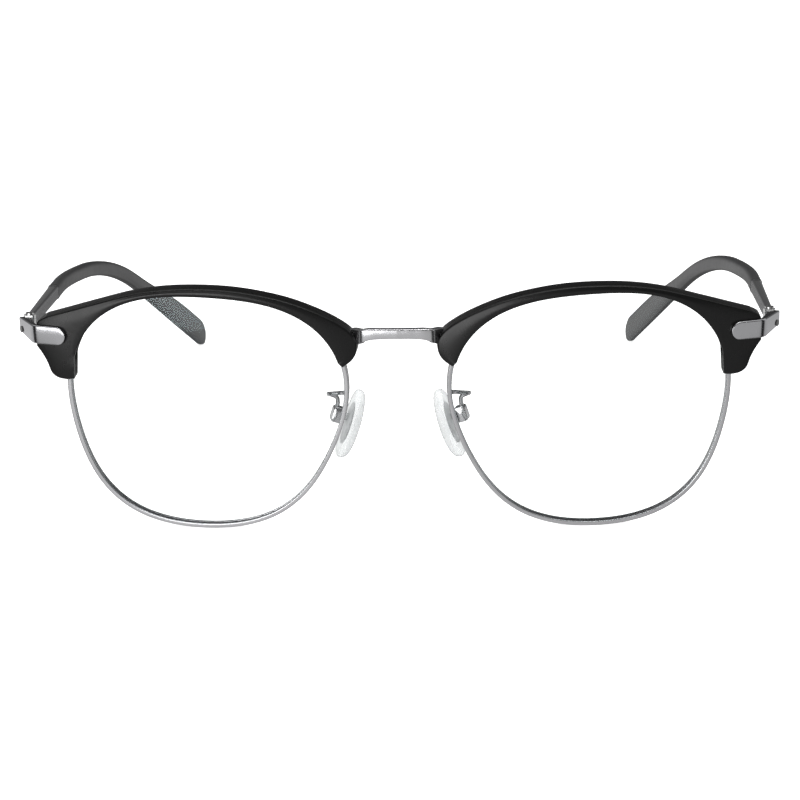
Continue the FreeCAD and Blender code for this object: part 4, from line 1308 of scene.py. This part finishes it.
# ------------------------------------------------------------------ stage
@dataclass
class Studio:
    """Pale floor, soft lights and the camera."""

    distance: float = 600.0
    elevation: float = 16.0
    yaw: float = 1.73
    roll: float = -0.92
    focal_ratio: float = 4.05
    raise_share: float = 0.001
    side_share: float = -0.0024
    floor_glow: float = 0.8
    left_gain: float = 1.22
    right_gain: float = 0.95
    overhead_gain: float = 0.28
    dark_stretch: tuple[Point, ...] = ((0.0, 0.95), (0.26, 0.9), (0.31, 0.03), (0.44, 0.03),
                                       (0.51, 0.9), (0.82, 0.9), (0.93, 0.25), (1.0, 0.18))

    def floor(self) -> None:
        """Large pale floor."""
        mesh = bpy.data.meshes.new("studio_floor")
        half = 6.0
        mesh.from_pydata([(-half, -half, 0), (half, -half, 0), (half, half, 0), (-half, half, 0)], [], [(0, 1, 2, 3)])
        floor = linked("studio_floor", mesh)
        bench = Bench("pale floor")
        mottle = bench.noise(3.0, 2.0)
        pale = bench.shade_between(mottle, (0.90, 0.90, 0.90), (0.92, 0.92, 0.92))
        seen = bench.principled({"Base Color": pale, "Roughness": 0.9, "Specular IOR Level": 0.0,
                                 "Emission Color": (1, 1, 1, 1), "Emission Strength": self.floor_glow})
        dull = bench.principled({"Base Color": (0.5, 0.5, 0.5, 1), "Roughness": 0.9, "Specular IOR Level": 0.0})
        ray = bench.node("ShaderNodeLightPath")
        clear = bench.node("ShaderNodeBsdfTransparent").outputs[0]
        unseen = bench.node("ShaderNodeMixShader", {},
                            {0: ray.outputs["Is Glossy Ray"], 1: dull, 2: clear})
        shader = bench.node("ShaderNodeMixShader", {},
                            {0: ray.outputs["Is Camera Ray"], 1: unseen.outputs[0], 2: seen})
        dress(floor, bench.done(shader.outputs[0]))

    def lamp(self, name: str, place: Sequence[float], aim: Sequence[float], size: Point, power: float) -> None:
        """Add one soft rectangular lamp aimed at a point."""
        data = bpy.data.lights.new(name, "AREA")
        data.shape, data.size, data.size_y, data.energy = "RECTANGLE", size[0], size[1], power
        lamp = linked(name, data)
        lamp.location = place
        lamp.rotation_euler = (Vector(aim) - Vector(place)).to_track_quat("-Z", "Y").to_euler()

    def lights(self) -> None:
        """Soft lamps overhead, a strip that lines the top edges, and one at the right and one low on the left."""
        self.lamp("overhead", (0.0, 0.15, 1.1), (0.0, 0.0, 0.0), (1.6, 1.2), 7.0)
        self.lamp("edge_strip", (0.0, -0.3, 1.0), (0.0, 0.0, 0.0), (0.9, 0.12), 3.5)
        self.lamp("right_side", (1.2, -0.1, 0.55), (0.0, 0.0, 0.0), (0.5, 0.9), 1.5)
        self.lamp("low_front", (-0.3, -0.6, 0.1), (-0.05, 0.0, 0.03), (0.5, 0.3), 3.2)

    def surround(self) -> None:
        """Surround that reflections see: bright below, dim above, with a dark stretch off each front corner."""
        bench = SkyBench("studio")
        place = bench.node("ShaderNodeTexCoord").outputs["Generated"]
        split = bench.node("ShaderNodeSeparateXYZ", {}, {0: place})
        x, y, z = (Value(bench, split.outputs[i]) for i in range(3))
        sideways = bench.node("ShaderNodeMath", {"operation": "ABSOLUTE"}, {0: x}).outputs[0]
        turn = bench.node("ShaderNodeMath", {"operation": "ARCTAN2"}, {0: sideways, 1: y * -1.0}).outputs[0]
        ramp = bench.node("ShaderNodeValToRGB", {}, {0: Value(bench, turn) * (1 / math.pi)})
        stops = ramp.color_ramp.elements
        for position, _ in self.dark_stretch[1:-1]:
            stops.new(position)
        for stop, (position, level) in zip(stops, self.dark_stretch):
            stop.position, stop.color = position, (level, level, level, 1.0)
        left = bench.node("ShaderNodeMapRange", {}, {"Value": x, "From Min": -0.12, "From Max": 0.12,
                                                     "To Min": self.left_gain, "To Max": self.right_gain}).outputs[0]
        above = bench.node("ShaderNodeMapRange", {}, {"Value": z, "From Min": -0.04, "From Max": 0.16,
                                                      "To Min": 1.0, "To Max": self.overhead_gain}).outputs[0]
        strength = Value(bench, ramp.outputs[0]) * Value(bench, left) * Value(bench, above)
        camera_ray = bench.node("ShaderNodeLightPath").outputs["Is Camera Ray"]
        shown = bench.node("ShaderNodeMath", {"operation": "MAXIMUM"}, {0: strength, 1: camera_ray}).outputs[0]
        shell = bench.node("ShaderNodeBackground", {}, {"Color": (1, 1, 1, 1), "Strength": shown}).outputs[0]
        bench.node("ShaderNodeOutputWorld", {}, {"Surface": shell})

    def camera(self) -> None:
        """Camera in front of the glasses and a little above them."""
        tilt, turn = math.radians(self.elevation), math.radians(self.yaw)
        forward = Vector((-math.cos(tilt) * math.sin(turn), math.cos(tilt) * math.cos(turn), -math.sin(tilt)))
        right = Vector((math.cos(turn), math.sin(turn), 0.0))
        up = right.cross(forward)
        place = ROW @ (forward * -self.distance)
        data = bpy.data.cameras.new("portrait")
        data.sensor_width = 36.0
        data.lens = 36.0 * self.focal_ratio
        data.shift_x = -self.side_share
        data.shift_y = -self.raise_share
        data.clip_start, data.clip_end = 0.01, 50.0
        camera = linked("portrait", data)
        stand = axes_matrix(right, up, -forward, place)
        camera.matrix_world = stand @ Matrix.Rotation(math.radians(self.roll), 4, "Z")
        bpy.context.scene.camera = camera

    def build(self) -> None:
        """Set the stage."""
        bpy.context.scene.view_settings.view_transform = "Standard"
        self.floor()
        self.lights()
        self.surround()
        self.camera()


def main() -> None:
    """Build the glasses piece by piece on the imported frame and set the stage."""
    logging.basicConfig(level=logging.INFO, format="%(name)s: %(message)s")
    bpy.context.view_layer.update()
    finishes = Finishes()
    sweep, heads = sweep_tree(), fastener_tree()
    CarriedOver(finishes).build()
    for side in Side:
        Eyewire(finishes, sweep).build(side)
        Lens(finishes).build(side)
        Brow(finishes).build(side)
        Strap(finishes).build(side)
        Temple(finishes).build(side)
        NosePad(finishes, sweep).build(side)
    Bridge(finishes).build()
    Fasteners(finishes, heads).build()
    Studio().build()


if __name__ == "__main__":
    main()
